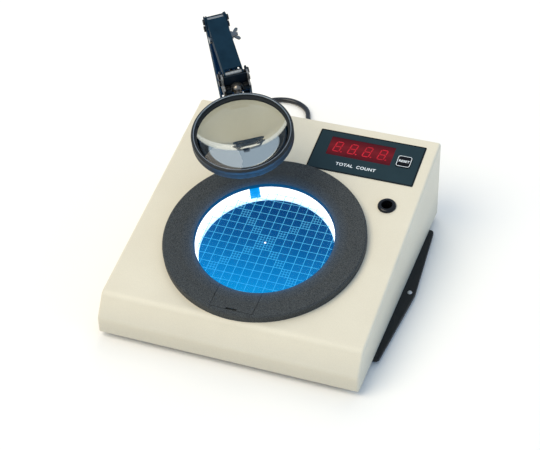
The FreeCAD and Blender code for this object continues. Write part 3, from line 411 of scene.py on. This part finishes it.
def cream_paint():
    """Textured cream enamel: fine orange peel, faint patches, and painted shade that darkens the
    lower edges.
    """
    shader = Shader("cream_enamel", Specular_IOR_Level=0.45)
    height = shader.axis(shader.coordinates(CASE_FRAME), "Z")
    # painted shade: the cream darkens towards the lower edges, near the table
    level = shader.share(height, 0.0, LOW_SHADE_HEIGHT * MM)
    patches = shader.noise(14.0, 5.0)
    base = shader.ramp(patches, [(0.3, (0.75, 0.665, 0.50)), (0.7, (0.79, 0.705, 0.535))])
    low_shaded = shader.mix(level, (0.63, 0.575, 0.45, 1), base)
    speck = shader.ramp(shader.noise(2600.0, 1.0), [(0.42, (0.93, 0.93, 0.93)), (0.55, (1, 1, 1))])
    shader.link(shader.mix(1.0, low_shaded, speck, "MULTIPLY"), "Base Color")
    peel = shader.noise(1500.0, 2.0)
    shader.link(shader.spread(peel, 0.34, 0.5), "Roughness")
    shader.bump(peel, 0.22, 0.0003)
    return shader.material


def ring_moulding():
    """Speckled charcoal moulding, painted with the well's blue light round the opening."""
    shader = Shader("speckled_charcoal", Specular_IOR_Level=0.15, Emission_Strength=1.0)
    grain = shader.noise(1250.0, 2.0)
    speckle = shader.ramp(grain, [(0.38, (0.022, 0.024, 0.024)), (0.62, (0.080, 0.084, 0.081))])
    shader.link(shader.spread(grain, 0.45, 0.62), "Roughness")
    shader.bump(grain, 0.5, 0.0003)
    flat = shader.calculate_vector("MULTIPLY", "Vector", shader.coordinates(WELL_FRAME), (1, 1, 0))
    radius = shader.calculate_vector("LENGTH", "Value", flat)
    outward = shader.share(radius, WELL_R * MM, (WELL_R + RING_GLOW_WIDTH) * MM)
    shadow = shader.ramp(outward, [(0.0, (0.0, 0.08, 0.16)), (0.035, (0.05, 0.15, 0.25)),
                                   (0.09, (1, 1, 1))])
    shader.link(shader.mix(1.0, speckle, shadow, "MULTIPLY"), "Base Color")
    glow = shader.ramp(outward, [(0.0, (0.0, 0.07, 0.20)), (0.1, (0.0, 0.030, 0.085)),
                                 (0.4, (0.0, 0.008, 0.022)), (1.0, (0.0, 0.0, 0.0))])
    shader.link(glow, "Emission Color")
    return shader.material


def case_looks():
    """Materials of the case and the boards in it, with the CAD nodes that wear them."""
    black = mottled("black_moulding", (0.020, 0.022, 0.024), grain=0.35)
    grip_black = mottled("grip_black", (0.011, 0.012, 0.012), grain=0.35, roughness=0.55,
                         Specular_IOR_Level=0.25)
    gloss_black = mottled("gloss_black", (0.006, 0.006, 0.007), grain_scale=900.0, grain=0.05,
                          roughness=0.2, roughness_spread=0.06, Specular_IOR_Level=0.35)
    panel = mottled("rear_panel_paint", (0.52, 0.51, 0.46), variation=0.04, patch_scale=20.0,
                    grain=0.2, roughness=0.45)
    rubber = mottled("rubber", (0.018, 0.018, 0.018), patch_scale=80.0, grain_scale=1300.0,
                     grain=0.4, roughness=0.75)
    board = mottled("circuit_board", (0.02, 0.16, 0.06), patch_scale=200.0, grain_scale=900.0,
                    grain=0.1, roughness=0.35)
    steel = brushed("screw_steel", (0.62, 0.62, 0.62), (1, 6, 1), 0.32)
    return {
        cream_paint(): ["top_cover"],
        panel: ["rear_panel", "base_plate"],
        ring_moulding(): ["ring_bezel", "ring_door"],
        grip_black: ["side_grip_left", "side_grip_right"],
        black: ["digit_modules", "reset_switch", "buzzer", "lamp_ballast",
                "switch_housing", "fuse_holder", "fuse_cap", "pressure_switch"],
        gloss_black: ["pen_holder", "power_rocker"],
        rubber: ["rubber_feet", "cord_gland"],
        board: ["display_board", "main_board"],
        steel: ["panel_screws", "grip_screws", "board_standoffs"],
    }


# ---------------------------------------------------------------- materials: well
def blue_field():
    """The blue floor of the well, its light painted in as emission: deep blue at the back, bright
    azure towards the front.
    """
    shader = Shader("painted_glow_blue_field", Roughness=0.5, Specular_IOR_Level=0.02, Emission_Strength=1.0)
    along = shader.axis(shader.coordinates(WELL_FRAME), "Y")
    sway = shader.spread(shader.noise(18.0, 2.0), -FIELD_SWAY * MM, FIELD_SWAY * MM)
    wobble = shader.calculate("ADD", sway, along)
    back = shader.share(wobble, -FIELD_REACH * MM, FIELD_REACH * MM)
    # painted light: the field's glow, brightest towards the front
    colour = shader.ramp(back, [(0.0, (0.0, 0.33, 0.74)), (0.25, (0.0, 0.21, 0.57)),
                                (0.6, (0.0, 0.07, 0.25)), (1.0, (0.0, 0.024, 0.11))])
    shade = shader.ramp(back, [(0.0, (0.0, 0.05, 0.10)), (1.0, (0.0, 0.012, 0.04))])
    shader.link(shade, "Base Color")
    shader.link(colour, "Emission Color")
    return shader.material


def line_print():
    """The grid's print, glowing with painted light, which stands out less towards the bright front
    of the well.
    """
    shader = Shader("grid_line_print", Roughness=0.5, Specular_IOR_Level=0.1, Emission_Strength=1.0)
    along = shader.axis(shader.coordinates(WELL_FRAME), "Y")
    back = shader.share(along, -FIELD_REACH * MM, FIELD_REACH * MM)
    sway = shader.spread(shader.noise(55.0, 2.0), -0.1, 0.1)
    uneven = shader.calculate("ADD", sway, back)
    shade = shader.ramp(uneven, [(0.0, (0.01, 0.05, 0.10)), (1.0, (0.04, 0.09, 0.12))])
    shader.link(shade, "Base Color")
    # painted light: the print's glow
    shader.link(shader.ramp(uneven, [(0.0, (0.02, 0.40, 0.85)), (0.4, (0.04, 0.48, 0.86)),
                                     (1.0, (0.11, 0.50, 0.72))]), "Emission Color")
    return shader.material


def lit_wall():
    """The white wall of the well, glowing with painted lamplight, and bluer towards the field at its
    foot with painted light from the field.
    """
    shader = Shader("white_wall_painted_glow", Roughness=0.45, Emission_Strength=1.2)
    height = shader.axis(shader.coordinates(WELL_FRAME), "Z")
    level = shader.share(height, FIELD_TOP * MM, WALL_BLUE_CAST_TOP * MM)
    sway = shader.spread(shader.noise(40.0, 3.0), -0.08, 0.08)
    uneven = shader.calculate("ADD", sway, level)
    # painted light: white glow, blue from the field near the foot
    colour = shader.ramp(uneven, [(0.0, (0.5, 0.80, 1.0)), (0.2, (0.85, 0.96, 1.0)),
                                  (0.35, (1, 1, 1))])
    shader.link(colour, "Base Color")
    shader.link(colour, "Emission Color")
    return shader.material


def see_through_plate():
    """A flat clear plate that lets light straight through, with a faint gloss."""
    shader = Shader("stage_glass", Alpha=0.06)
    smears = shader.noise(30.0)
    colour = shader.ramp(smears, [(0.35, (0.02, 0.12, 0.3)), (0.7, (0.04, 0.2, 0.42))])
    shader.link(colour, "Base Color")
    shader.link(shader.spread(smears, 0.05, 0.11), "Roughness")
    return shader.material


def well_looks():
    """Materials of the well, with the CAD nodes that wear them."""
    inner = mottled("inner_white", (0.75, 0.75, 0.72), variation=0.03, patch_scale=20.0,
                    grain_scale=900.0, grain=0.1)
    spring = brushed("spring_steel", (0.5, 0.5, 0.52), (6, 1, 1))
    return {
        blue_field(): ["field_plate"],
        lit_wall(): ["light_wall"],
        glowing("lamp_tube", (0.9, 0.97, 1.0), 1.6): ["ring_lamp"],
        # painted reflection: the lamp socket glows with the blue of the field it reflects
        glowing("lamp_socket_painted_reflection", (0.0, 0.27, 0.66), 0.9): ["lamp_socket"],
        see_through_plate(): ["grid_glass"],
        inner: ["well_pan"],
        spring: ["stage_springs", "lamp_clips"],
    }


# ---------------------------------------------------------------- materials: display
def red_window():
    """Deep red display filter, glossy, with a faint glow painted along the middle."""
    shader = Shader("red_filter", Specular_IOR_Level=0.1, Emission_Strength=1.0)
    cloud = shader.noise(50.0, 2.0)
    shade = shader.ramp(cloud, [(0.3, (0.045, 0.003, 0.006)), (0.7, (0.06, 0.004, 0.008))])
    shader.link(shade, "Base Color")
    along = shader.axis(shader.coordinates(SLOPE_FRAME), "Y")
    height = shader.share(along, WINDOW_V[0] * MM, WINDOW_V[1] * MM)
    uneven = shader.calculate("ADD", shader.spread(cloud, -0.08, 0.08), height)
    shader.link(shader.ramp(uneven, [(0.0, (0.03, 0.001, 0.002)), (0.3, (0.085, 0.004, 0.006)),
                                     (0.55, (0.12, 0.007, 0.009)), (0.8, (0.06, 0.003, 0.004)),
                                     (1.0, (0.025, 0.001, 0.002))]), "Emission Color")
    shader.link(shader.spread(shader.noise(400.0, 2.0), 0.16, 0.28), "Roughness")
    return shader.material


def display_looks():
    """Materials of the label, the window and the button, with the CAD nodes that wear them."""
    label = mottled("label_film", (0.018, 0.036, 0.043), variation=0.08, patch_scale=30.0,
                    grain_scale=1900.0, grain=0.15, roughness_spread=0.1, Specular_IOR_Level=0.08)
    button_black = mottled("button_black", (0.004, 0.004, 0.005), grain_scale=900.0, grain=0.05,
                           roughness=0.35, roughness_spread=0.06, Specular_IOR_Level=0.12)
    return {
        label: ["display_label"],
        red_window(): ["display_window"],
        button_black: ["reset_button"],
    }


# ---------------------------------------------------------------- materials: arm and cord fittings
def socket_finish():
    """The clamp over the ball: black plate, and a dome worn to bronze round the ball."""
    shader = Shader("socket_finish", Specular_IOR_Level=0.1)
    centre = Vector((BALL[0], 0, BALL[1])) * MM
    distance = shader.calculate_vector("DISTANCE", "Value", shader.coordinates(ARM_FRAME), centre)
    paint_worn_enamel(shader, shader.calculate("LESS_THAN", distance, WORN_R * MM))
    return shader.material


def bare_edged_enamel():
    """Dark enamel on folded plate: the front edges of the yoke's two cheeks are worn bare."""
    shader = Shader("bare_edged_enamel", Specular_IOR_Level=0.1)
    where = shader.coordinates(ARM_FRAME)
    normal = shader.node("ShaderNodeTexCoord").outputs["Normal"]
    outward = shader.node("ShaderNodeMapping", {"Vector": normal, "Rotation": ARM_FRAME.to_euler()},
                          vector_type="TEXTURE")
    side = shader.calculate("ABSOLUTE", shader.axis(where, "Y"))
    sideways = shader.calculate("ABSOLUTE", shader.axis(outward.outputs["Vector"], "Y"))
    is_cheek = shader.calculate("GREATER_THAN", side, CHEEK_FROM * MM)
    is_edge = shader.calculate("LESS_THAN", sideways, CUT_EDGE_FACING)
    is_front = shader.calculate("GREATER_THAN", shader.axis(where, "X"), BARE_FROM * MM)
    cut_edge = shader.calculate("MULTIPLY", is_cheek, is_edge)
    paint_worn_enamel(shader, shader.calculate("MULTIPLY", cut_edge, is_front))
    return shader.material


def spacer_steel():
    """The arm's cross pins: bright between the cheeks, dull and dark at the riveted heads."""
    shader = Shader("spacer_steel", Metallic=1.0)
    side = shader.calculate("ABSOLUTE", shader.axis(shader.coordinates(ARM_FRAME), "Y"))
    head = shader.calculate("GREATER_THAN", side, PIN_HEAD_FROM * MM)
    scratches = shader.noise(500.0, 3.0)
    bright = shader.ramp(scratches, [(0.3, (0.34, 0.33, 0.31)), (0.7, (0.46, 0.45, 0.42))])
    dull = shader.ramp(scratches, [(0.3, (0.035, 0.036, 0.038)), (0.7, (0.055, 0.056, 0.058))])
    shader.link(shader.mix(head, bright, dull), "Base Color")
    shader.link(shader.spread(scratches, 0.3, 0.45), "Roughness")
    shader.bump(scratches, 0.12, 0.0001)
    return shader.material


def arm_looks():
    """Materials of the arm, with the CAD nodes that wear them."""
    arm_paint = mottled("arm_enamel", (0.009, 0.026, 0.043), variation=0.2, grain_scale=1100.0,
                        grain=0.18, roughness=0.6, roughness_spread=0.1, Specular_IOR_Level=0.05,
                        Specular_Tint=(0.15, 0.45, 1.0, 1))
    dark_steel = brushed("dark_steel", (0.16, 0.16, 0.16), (1, 6, 1), 0.4)
    chrome = brushed("bright_chrome", (0.24, 0.24, 0.235), (1, 1, 4), 0.14)
    bronze = brushed("worn_bronze", (0.24, 0.21, 0.18), (1, 1, 4))
    return {
        arm_paint: ["arm_flange", "arm_turret", "lower_arm", "upper_arm", "parallel_link"],
        bare_edged_enamel(): ["lens_yoke"],
        socket_finish(): ["socket_cap"],
        dark_steel: ["shoulder_pin", "flange_screws", "yoke_screws"],
        spacer_steel(): ["elbow_pins", "yoke_pins"],
        chrome: ["clamp_bolt", "wing_nut"],
        bronze: ["ball_stem"],
    }


def cord_looks():
    """Materials of the plug and the cord tie, with the CAD nodes that wear them."""
    brass = brushed("plug_brass", (0.75, 0.58, 0.28), (6, 1, 1), 0.22)
    moulding = mottled("plug_moulding", (0.022, 0.022, 0.024), patch_scale=70.0,
                       grain_scale=1200.0, roughness=0.4)
    return {
        brass: ["plug_pins"],
        moulding: ["plug_body", "cord_tie"],
    }


def paint(name, material):
    """Gives the mesh of a CAD node one material in place of its own."""
    mesh = nodes[name].data
    mesh.materials.clear()
    mesh.materials.append(material)


def paint_nodes():
    """Gives every CAD node that stays its procedural material."""
    for looks in (case_looks(), well_looks(), display_looks(), arm_looks(), cord_looks()):
        for material, names in looks.items():
            for name in names:
                paint(name, material)


# ---------------------------------------------------------------- mesh helpers
def new_piece(name, bm, matrix, material, body):
    """Turns a bmesh in millimetres of a working frame into a piece that rides on a body."""
    bm.transform(matrix @ Matrix.Scale(MM, 4))
    bmesh.ops.recalc_face_normals(bm, faces=bm.faces)
    mesh = bpy.data.meshes.new(name)
    bm.to_mesh(mesh)
    bm.free()
    mesh.materials.append(material)
    piece = bpy.data.objects.new(name, mesh)
    bpy.context.scene.collection.objects.link(piece)
    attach(piece, body)
    return piece


def circle_point(radius, i, segments):
    """Point i of a circle that is split into equal segments."""
    angle = 2 * math.pi * i / segments
    return radius * math.cos(angle), radius * math.sin(angle)


def lathe(profile):
    """A closed solid of revolution about the third axis, from (radius, height) points in a loop."""
    bm = bmesh.new()
    rings = [[bm.verts.new((*circle_point(r, i, ROUND_SEGMENTS), h)) for r, h in profile]
             for i in range(ROUND_SEGMENTS)]
    for i, ring in enumerate(rings):
        following = rings[(i + 1) % ROUND_SEGMENTS]
        for j in range(len(profile)):
            k = (j + 1) % len(profile)
            bm.faces.new((ring[j], ring[k], following[k], following[j]))
    return bm


def smooth(piece, angle_deg):
    """Smooth shading with crisp edges above an angle."""
    mesh = piece.data
    mesh.polygons.foreach_set("use_smooth", [True] * len(mesh.polygons))
    mesh.set_sharp_from_angle(angle=math.radians(angle_deg))


def add_slab(bm, outline, low, high):
    """A flat slab between two heights with the given outline."""
    bottom = [bm.verts.new((x, y, low)) for x, y in outline]
    top = [bm.verts.new((x, y, high)) for x, y in outline]
    bm.faces.new(bottom[::-1])
    bm.faces.new(top)
    count = len(outline)
    for i in range(count):
        j = (i + 1) % count
        bm.faces.new((bottom[i], bottom[j], top[j], top[i]))


def rounded_rectangle(half, radius, centre, steps=8):
    """Points round a rectangle with the given half sides and rounded corners."""
    points = []
    for corner, (sx, sy) in enumerate(((1, 1), (-1, 1), (-1, -1), (1, -1))):
        for i in range(steps + 1):
            angle = math.radians(90 * corner + 90 * i / steps)
            points.append((centre[0] + sx * (half[0] - radius) + radius * math.cos(angle),
                           centre[1] + sy * (half[1] - radius) + radius * math.sin(angle)))
    return points


def printed_band(half, insets, radii, centre, low):
    """A thin band round a rectangle, between an outer and an inner loop set in from its edge."""
    bm = bmesh.new()
    outer, inner = (rounded_rectangle((half[0] - inset, half[1] - inset), radius, centre)
                    for inset, radius in zip(insets, radii))
    outer_low, outer_high, inner_low, inner_high = (
        [bm.verts.new((x, y, height)) for x, y in loop]
        for loop in (outer, inner) for height in (low, low + PRINT_THICKNESS))
    count = len(outer)
    for i in range(count):
        j = (i + 1) % count
        bm.faces.new((outer_high[i], outer_high[j], inner_high[j], inner_high[i]))
        bm.faces.new((outer_low[j], outer_low[i], inner_low[i], inner_low[j]))
        bm.faces.new((outer_low[i], outer_low[j], outer_high[j], outer_high[i]))
        bm.faces.new((inner_high[i], inner_high[j], inner_low[j], inner_low[i]))
    return bm


# ---------------------------------------------------------------- well
def add_line(bm, start, end, offset, width, across):
    """A printed line between two places along one grid direction, cut off at the round edge."""
    reach = math.sqrt(max(LINE_REACH ** 2 - offset ** 2, 0.0))
    start = max(start, -reach)
    end = min(end, reach)
    if end - start < SHORTEST_LINE:
        return
    half = width / 2
    corners = [(start, offset - half), (end, offset - half),
               (end, offset + half), (start, offset + half)]
    if across:
        corners = [(y, x) for x, y in corners][::-1]
    add_slab(bm, corners, *LINE_LEVELS)


def add_fine_cell(bm, i, j):
    """The finer lines inside the cell in column i and row j."""
    for k in range(1, FINE_PARTS):
        step = k * GRID_PITCH / FINE_PARTS
        for along, beside, across in ((i, j, False), (j, i, True)):
            add_line(bm, along * GRID_PITCH, (along + 1) * GRID_PITCH, beside * GRID_PITCH + step,
                     FINE_WIDTH, across)


def make_grid():
    """The print on the stage glass: a centimetre grid, finer cells along both diagonals, a dot."""
    bm = bmesh.new()
    for i in range(-GRID_CELLS + 1, GRID_CELLS):
        for across in (False, True):
            add_line(bm, -LINE_REACH, LINE_REACH, i * GRID_PITCH, LINE_WIDTH, across)
    for i in range(-FINE_CELLS, FINE_CELLS):
        for j in (i, -i - 1):
            add_fine_cell(bm, i, j)
    new_piece("grid_lines", bm, WELL_FRAME, line_print(), "stage")
    dot = bmesh.new()
    circle = [circle_point(DOT_R, i, DOT_SEGMENTS) for i in range(DOT_SEGMENTS)]
    add_slab(dot, circle, LINE_LEVELS[0], LINE_LEVELS[1] + PRINT_THICKNESS)
    # painted light: the printed centre dot glows white
    white = glowing("dot_painted_glow", (1, 1, 1), 1.2)
    new_piece("grid_centre_dot", dot, WELL_FRAME, white, "stage")


# ---------------------------------------------------------------- display
def level_bar(y):
    """A pointed bar across the digit at height y, in the digit's own upright frame."""
    nib = STROKE / 2
    reach = DIGIT_WIDTH / 2 - nib - BAR_GAP
    return [(-reach, y), (-reach + nib, y - nib), (reach - nib, y - nib), (reach, y),
            (reach - nib, y + nib), (-reach + nib, y + nib)]


def upright_bar(x, y):
    """A pointed bar along the digit's side, centred at (x, y)."""
    nib = STROKE / 2
    rise = DIGIT_HEIGHT / 4 - nib / 2
    return [(x, y - rise + TIP_GAP), (x + nib, y - rise + nib), (x + nib, y + rise - nib),
            (x, y + rise - TIP_GAP), (x - nib, y + rise - nib), (x - nib, y - rise + nib)]


def digit_outlines():
    """Outlines of the seven bars and the point of one digit, before the slant."""
    nib = STROKE / 2
    half_w = DIGIT_WIDTH / 2
    half_h = DIGIT_HEIGHT / 2
    outlines = [level_bar(y) for y in (-half_h + nib, 0, half_h - nib)]
    outlines += [upright_bar(x, y) for x in (-half_w + nib, half_w - nib)
                 for y in (-half_h / 2 + nib / 2, half_h / 2 - nib / 2)]
    left = half_w + POINT_OFFSET - POINT_SIZE / 2
    right = left + POINT_SIZE
    top = -half_h + POINT_SIZE
    outlines.append([(left, -half_h), (right, -half_h), (right, top), (left, top)])
    return outlines


def make_digits():
    """Four slanted digits just proud of the window's face."""
    bm = bmesh.new()
    centre_v = sum(WINDOW_V) / 2
    for i in range(DIGIT_COUNT):
        centre_x = FIRST_DIGIT_X + i * DIGIT_PITCH
        for outline in digit_outlines():
            slanted = [(centre_x + x + DIGIT_SLANT * y, centre_v + y) for x, y in outline]
            add_slab(bm, slanted, *DIGIT_LEVELS)
    lit = glowing("digit_red", (0.40, 0.012, 0.022), 0.8, 0.15)
    new_piece("digit_segments", bm, SLOPE_FRAME, lit, "case")


def make_lettering(name, words, centre, height, level, body, material):
    """Thin raised letters on the slope, turned from text into a mesh piece."""
    data = bpy.data.curves.new(name, "FONT")
    data.body = words
    data.align_x = "CENTER"
    data.align_y = "CENTER"
    data.size = height * MM
    data.space_character = LETTER_SPACING
    data.extrude = LETTER_HALF_THICKNESS * MM
    data.offset = LETTER_SWELL * MM
    text = bpy.data.objects.new(name, data)
    bpy.context.scene.collection.objects.link(text)
    bpy.context.view_layer.update()
    mesh = bpy.data.meshes.new_from_object(text)
    bpy.data.objects.remove(text)
    mesh.materials.clear()
    mesh.materials.append(material)
    solid = bpy.data.objects.new(name, mesh)
    solid.matrix_world = SLOPE_FRAME @ Matrix.Translation(Vector((*centre, level)) * MM)
    bpy.context.scene.collection.objects.link(solid)
    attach(solid, body)


def make_label_print():
    """The label's dark edge, the outline on the reset button and the words on both."""
    ink = mottled("white_ink", (0.84, 0.86, 0.84), variation=0.04, patch_scale=90.0, grain=0.05)
    edge = mottled("label_edge", (0.004, 0.006, 0.007), variation=0.1, grain=0.1, roughness=0.6,
                   Specular_IOR_Level=0.15)
    centre = ((LABEL_X[0] + LABEL_X[1]) / 2, (LABEL_V[0] + LABEL_V[1]) / 2)
    half = ((LABEL_X[1] - LABEL_X[0]) / 2, (LABEL_V[1] - LABEL_V[0]) / 2)
    border = printed_band(half, BORDER_INSETS, BORDER_RADII, centre, LABEL_TOP)
    new_piece("label_border", border, SLOPE_FRAME, edge, "case")
    outline = printed_band((BUTTON_HALF, BUTTON_HALF), OUTLINE_INSETS, OUTLINE_RADII,
                           BUTTON_CENTRE, BUTTON_TOP)
    new_piece("button_outline", outline, SLOPE_FRAME, ink, "reset")
    make_lettering("reset_word", "RESET", BUTTON_CENTRE, RESET_HEIGHT, RESET_LEVEL, "reset", ink)
    make_lettering("count_words", "TOTAL  COUNT", COUNT_CENTRE, COUNT_HEIGHT, COUNT_LEVEL, "case",
                   ink)


# ---------------------------------------------------------------- lens
def lens_glass():
    """Slightly smoky glass with a trace of smears. Index and dark glints were chosen."""
    shader = Shader("lens_glass", Transmission_Weight=1.0, IOR=LENS_INDEX,
                    Specular_Tint=(0.35, 0.35, 0.35, 1))
    smears = shader.noise(45.0)
    shader.link(shader.spread(smears, 0.0016, 0.0064), "Roughness")
    clear = (0.64, 0.65, 0.59)
    smeared = tuple(c * 0.98 for c in clear)
    shader.link(shader.ramp(smears, [(0.35, smeared), (0.7, clear)]), "Base Color")
    return shader.material


def lens_face(bulge, level, side):
    """(radius, height) points of one spherical face, from the middle to the edge."""
    sphere = (LENS_R ** 2 + bulge ** 2) / (2 * bulge)
    radii = [LENS_R * i / LENS_STEPS for i in range(LENS_STEPS + 1)]
    return [(r, level + side * (math.sqrt(sphere ** 2 - r ** 2) - sphere + bulge)) for r in radii]


def lens_mesh():
    """The biconvex lens: rings of points from pole to pole, closed by a fan at each pole."""
    bm = bmesh.new()
    upper = lens_face(UPPER_BULGE, LENS_EDGE_LEVELS[1], 1)
    lower = lens_face(LOWER_BULGE, LENS_EDGE_LEVELS[0], -1)
    profile = upper + lower[::-1]
    rings = [[bm.verts.new((*circle_point(r, i, ROUND_SEGMENTS), h)) for i in range(ROUND_SEGMENTS)]
             for r, h in profile[1:-1]]
    for inner, outer in zip(rings, rings[1:]):
        for i in range(ROUND_SEGMENTS):
            j = (i + 1) % ROUND_SEGMENTS
            bm.faces.new((inner[i], inner[j], outer[j], outer[i]))
    for ring, (_, height) in ((rings[0], profile[0]), (rings[-1], profile[-1])):
        pole = bm.verts.new((0, 0, height))
        for i in range(ROUND_SEGMENTS):
            bm.faces.new((ring[i], ring[(i + 1) % ROUND_SEGMENTS], pole))
    return bm


def make_lens():
    """The lens as a finer mesh, in place of the CAD one."""
    lens = new_piece("magnifying_lens", lens_mesh(), LENS_FRAME, lens_glass(), "magnifier")
    smooth(lens, angle_deg=40)
    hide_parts("lens")


def lens_ring_profile():
    """(radius, height) loop of the mount: a grooved wall, a stepped rim, the bore and the lip."""
    half = RING_HALF
    loop = [(LIP_R, -half), (RING_R - 1.2, -half), (RING_R, -half + 1.2)]
    for level in GROOVE_LEVELS:
        loop += [(RING_R, level - GROOVE_DEPTH), (RING_R - GROOVE_DEPTH, level),
                 (RING_R, level + GROOVE_DEPTH)]
    loop += [(RING_R, half - 2.0), (RING_R - 0.5, half - 1.1), (RING_R - 1.5, half - 0.3),
             (RING_R - 2.2, half)]
    loop += [(RIM_BORE_R + 0.6, half), (RIM_BORE_R + 0.3, half - 0.25), (RIM_BORE_R, half - 0.9)]
    loop += [(RIM_BORE_R, 3.2), (LENS_BORE_R, 2.4), (LENS_BORE_R, -3.85), (LIP_R, -4.65)]
    return loop


def inner_line_profile():
    """(radius, height) loop of the bright line that lies on the rim's inner edge."""
    half = RING_HALF
    return [(RIM_BORE_R - 0.05, half - 0.85), (RIM_BORE_R + 0.45, half - 0.2),
            (RIM_BORE_R + 0.75, half + 0.03), (RIM_BORE_R + 0.3, half + 0.05)]


def make_lens_ring():
    """The lens mount in place of the CAD ring, its bright inner line, and the retainer's paint."""
    black = mottled("lens_ring_enamel", (0.026, 0.028, 0.028), variation=0.12, grain_scale=1300.0,
                    grain=0.2, roughness=0.42, Specular_IOR_Level=0.15)
    ring = new_piece("lens_mount", lathe(lens_ring_profile()), LENS_FRAME, black, "magnifier")
    smooth(ring, angle_deg=28)
    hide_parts("lens_ring")
    paint("lens_retainer", black)
    shine = brushed("inner_line", (0.55, 0.57, 0.58), (1, 1, 1))
    line = new_piece("lens_mount_line", lathe(inner_line_profile()), LENS_FRAME, shine, "magnifier")
    smooth(line, angle_deg=35)


# ---------------------------------------------------------------- cord
def coil_points():
    """Three turns inwards on the table, then three outwards on top of them, ending at the front.

    The last quarter of a turn leads over to the next one. The points stand a little outside the
    turn's radius, because the spline runs through the middles between them.
    """
    turns = [(radius, 0.0) for radius in COIL_TURN_RADII]
    turns += [(radius, CORD_DIAMETER) for radius in COIL_TURN_RADII[::-1]]
    last = len(turns) - 1
    outward = 1 / math.cos(math.pi / TURN_POINTS)
    total = len(turns) * TURN_POINTS + TURN_POINTS // 4
    points = []
    for i in range(total + 1):
        turned = i / TURN_POINTS
        here = min(int(turned), last)
        after = min(here + 1, last)
        share = max(0.0, (turned - here) * 4 - 3)
        radius, rise = (a + (b - a) * share for a, b in zip(turns[here], turns[after]))
        angle = math.pi + 2 * math.pi * turned
        points.append((COIL_CENTRE[0] + radius * outward * math.cos(angle),
                       COIL_CENTRE[1] + radius * outward * math.sin(angle), TABLE_CORD_Z + rise))
    return points


def cord_points():
    """The whole lead from the gland to the plug, in the case frame."""
    tail_y = COIL_CENTRE[1] - COIL_TURN_RADII[0]
    tail = [(COIL_CENTRE[0] + reach, tail_y, level) for reach, level in zip(TAIL_REACH, TAIL_LEVELS)]
    return CORD_ROUTE + coil_points() + tail


def make_cord():
    """The power lead as one spline, in place of the tube and the coil of the CAD model."""
    points = cord_points()
    curve = bpy.data.curves.new("power_lead", "CURVE")
    curve.dimensions = "3D"
    spline = curve.splines.new("NURBS")
    spline.points.add(len(points) - 1)
    for control, point in zip(spline.points, points):
        control.co = (*case_point(*point), 1)
    spline.order_u = 3
    spline.use_endpoint_u = True
    spline.resolution_u = 8
    curve.bevel_depth = CORD_R * MM
    curve.bevel_resolution = 5
    curve.use_fill_caps = True
    sheath = mottled("cord_sheath", (0.016, 0.016, 0.018), patch_scale=90.0, grain_scale=700.0,
                     grain=0.08, roughness=0.22, roughness_spread=0.08)
    curve.materials.append(sheath)
    lead = bpy.data.objects.new("power_lead", curve)
    bpy.context.scene.collection.objects.link(lead)
    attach(lead, "case")
    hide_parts("power_cord", "cord_coil")


# ---------------------------------------------------------------- build
make_camera()
make_world()
make_lights()
make_floor()
make_cord()
paint_nodes()
make_grid()
make_digits()
make_label_print()
make_lens()
make_lens_ring()
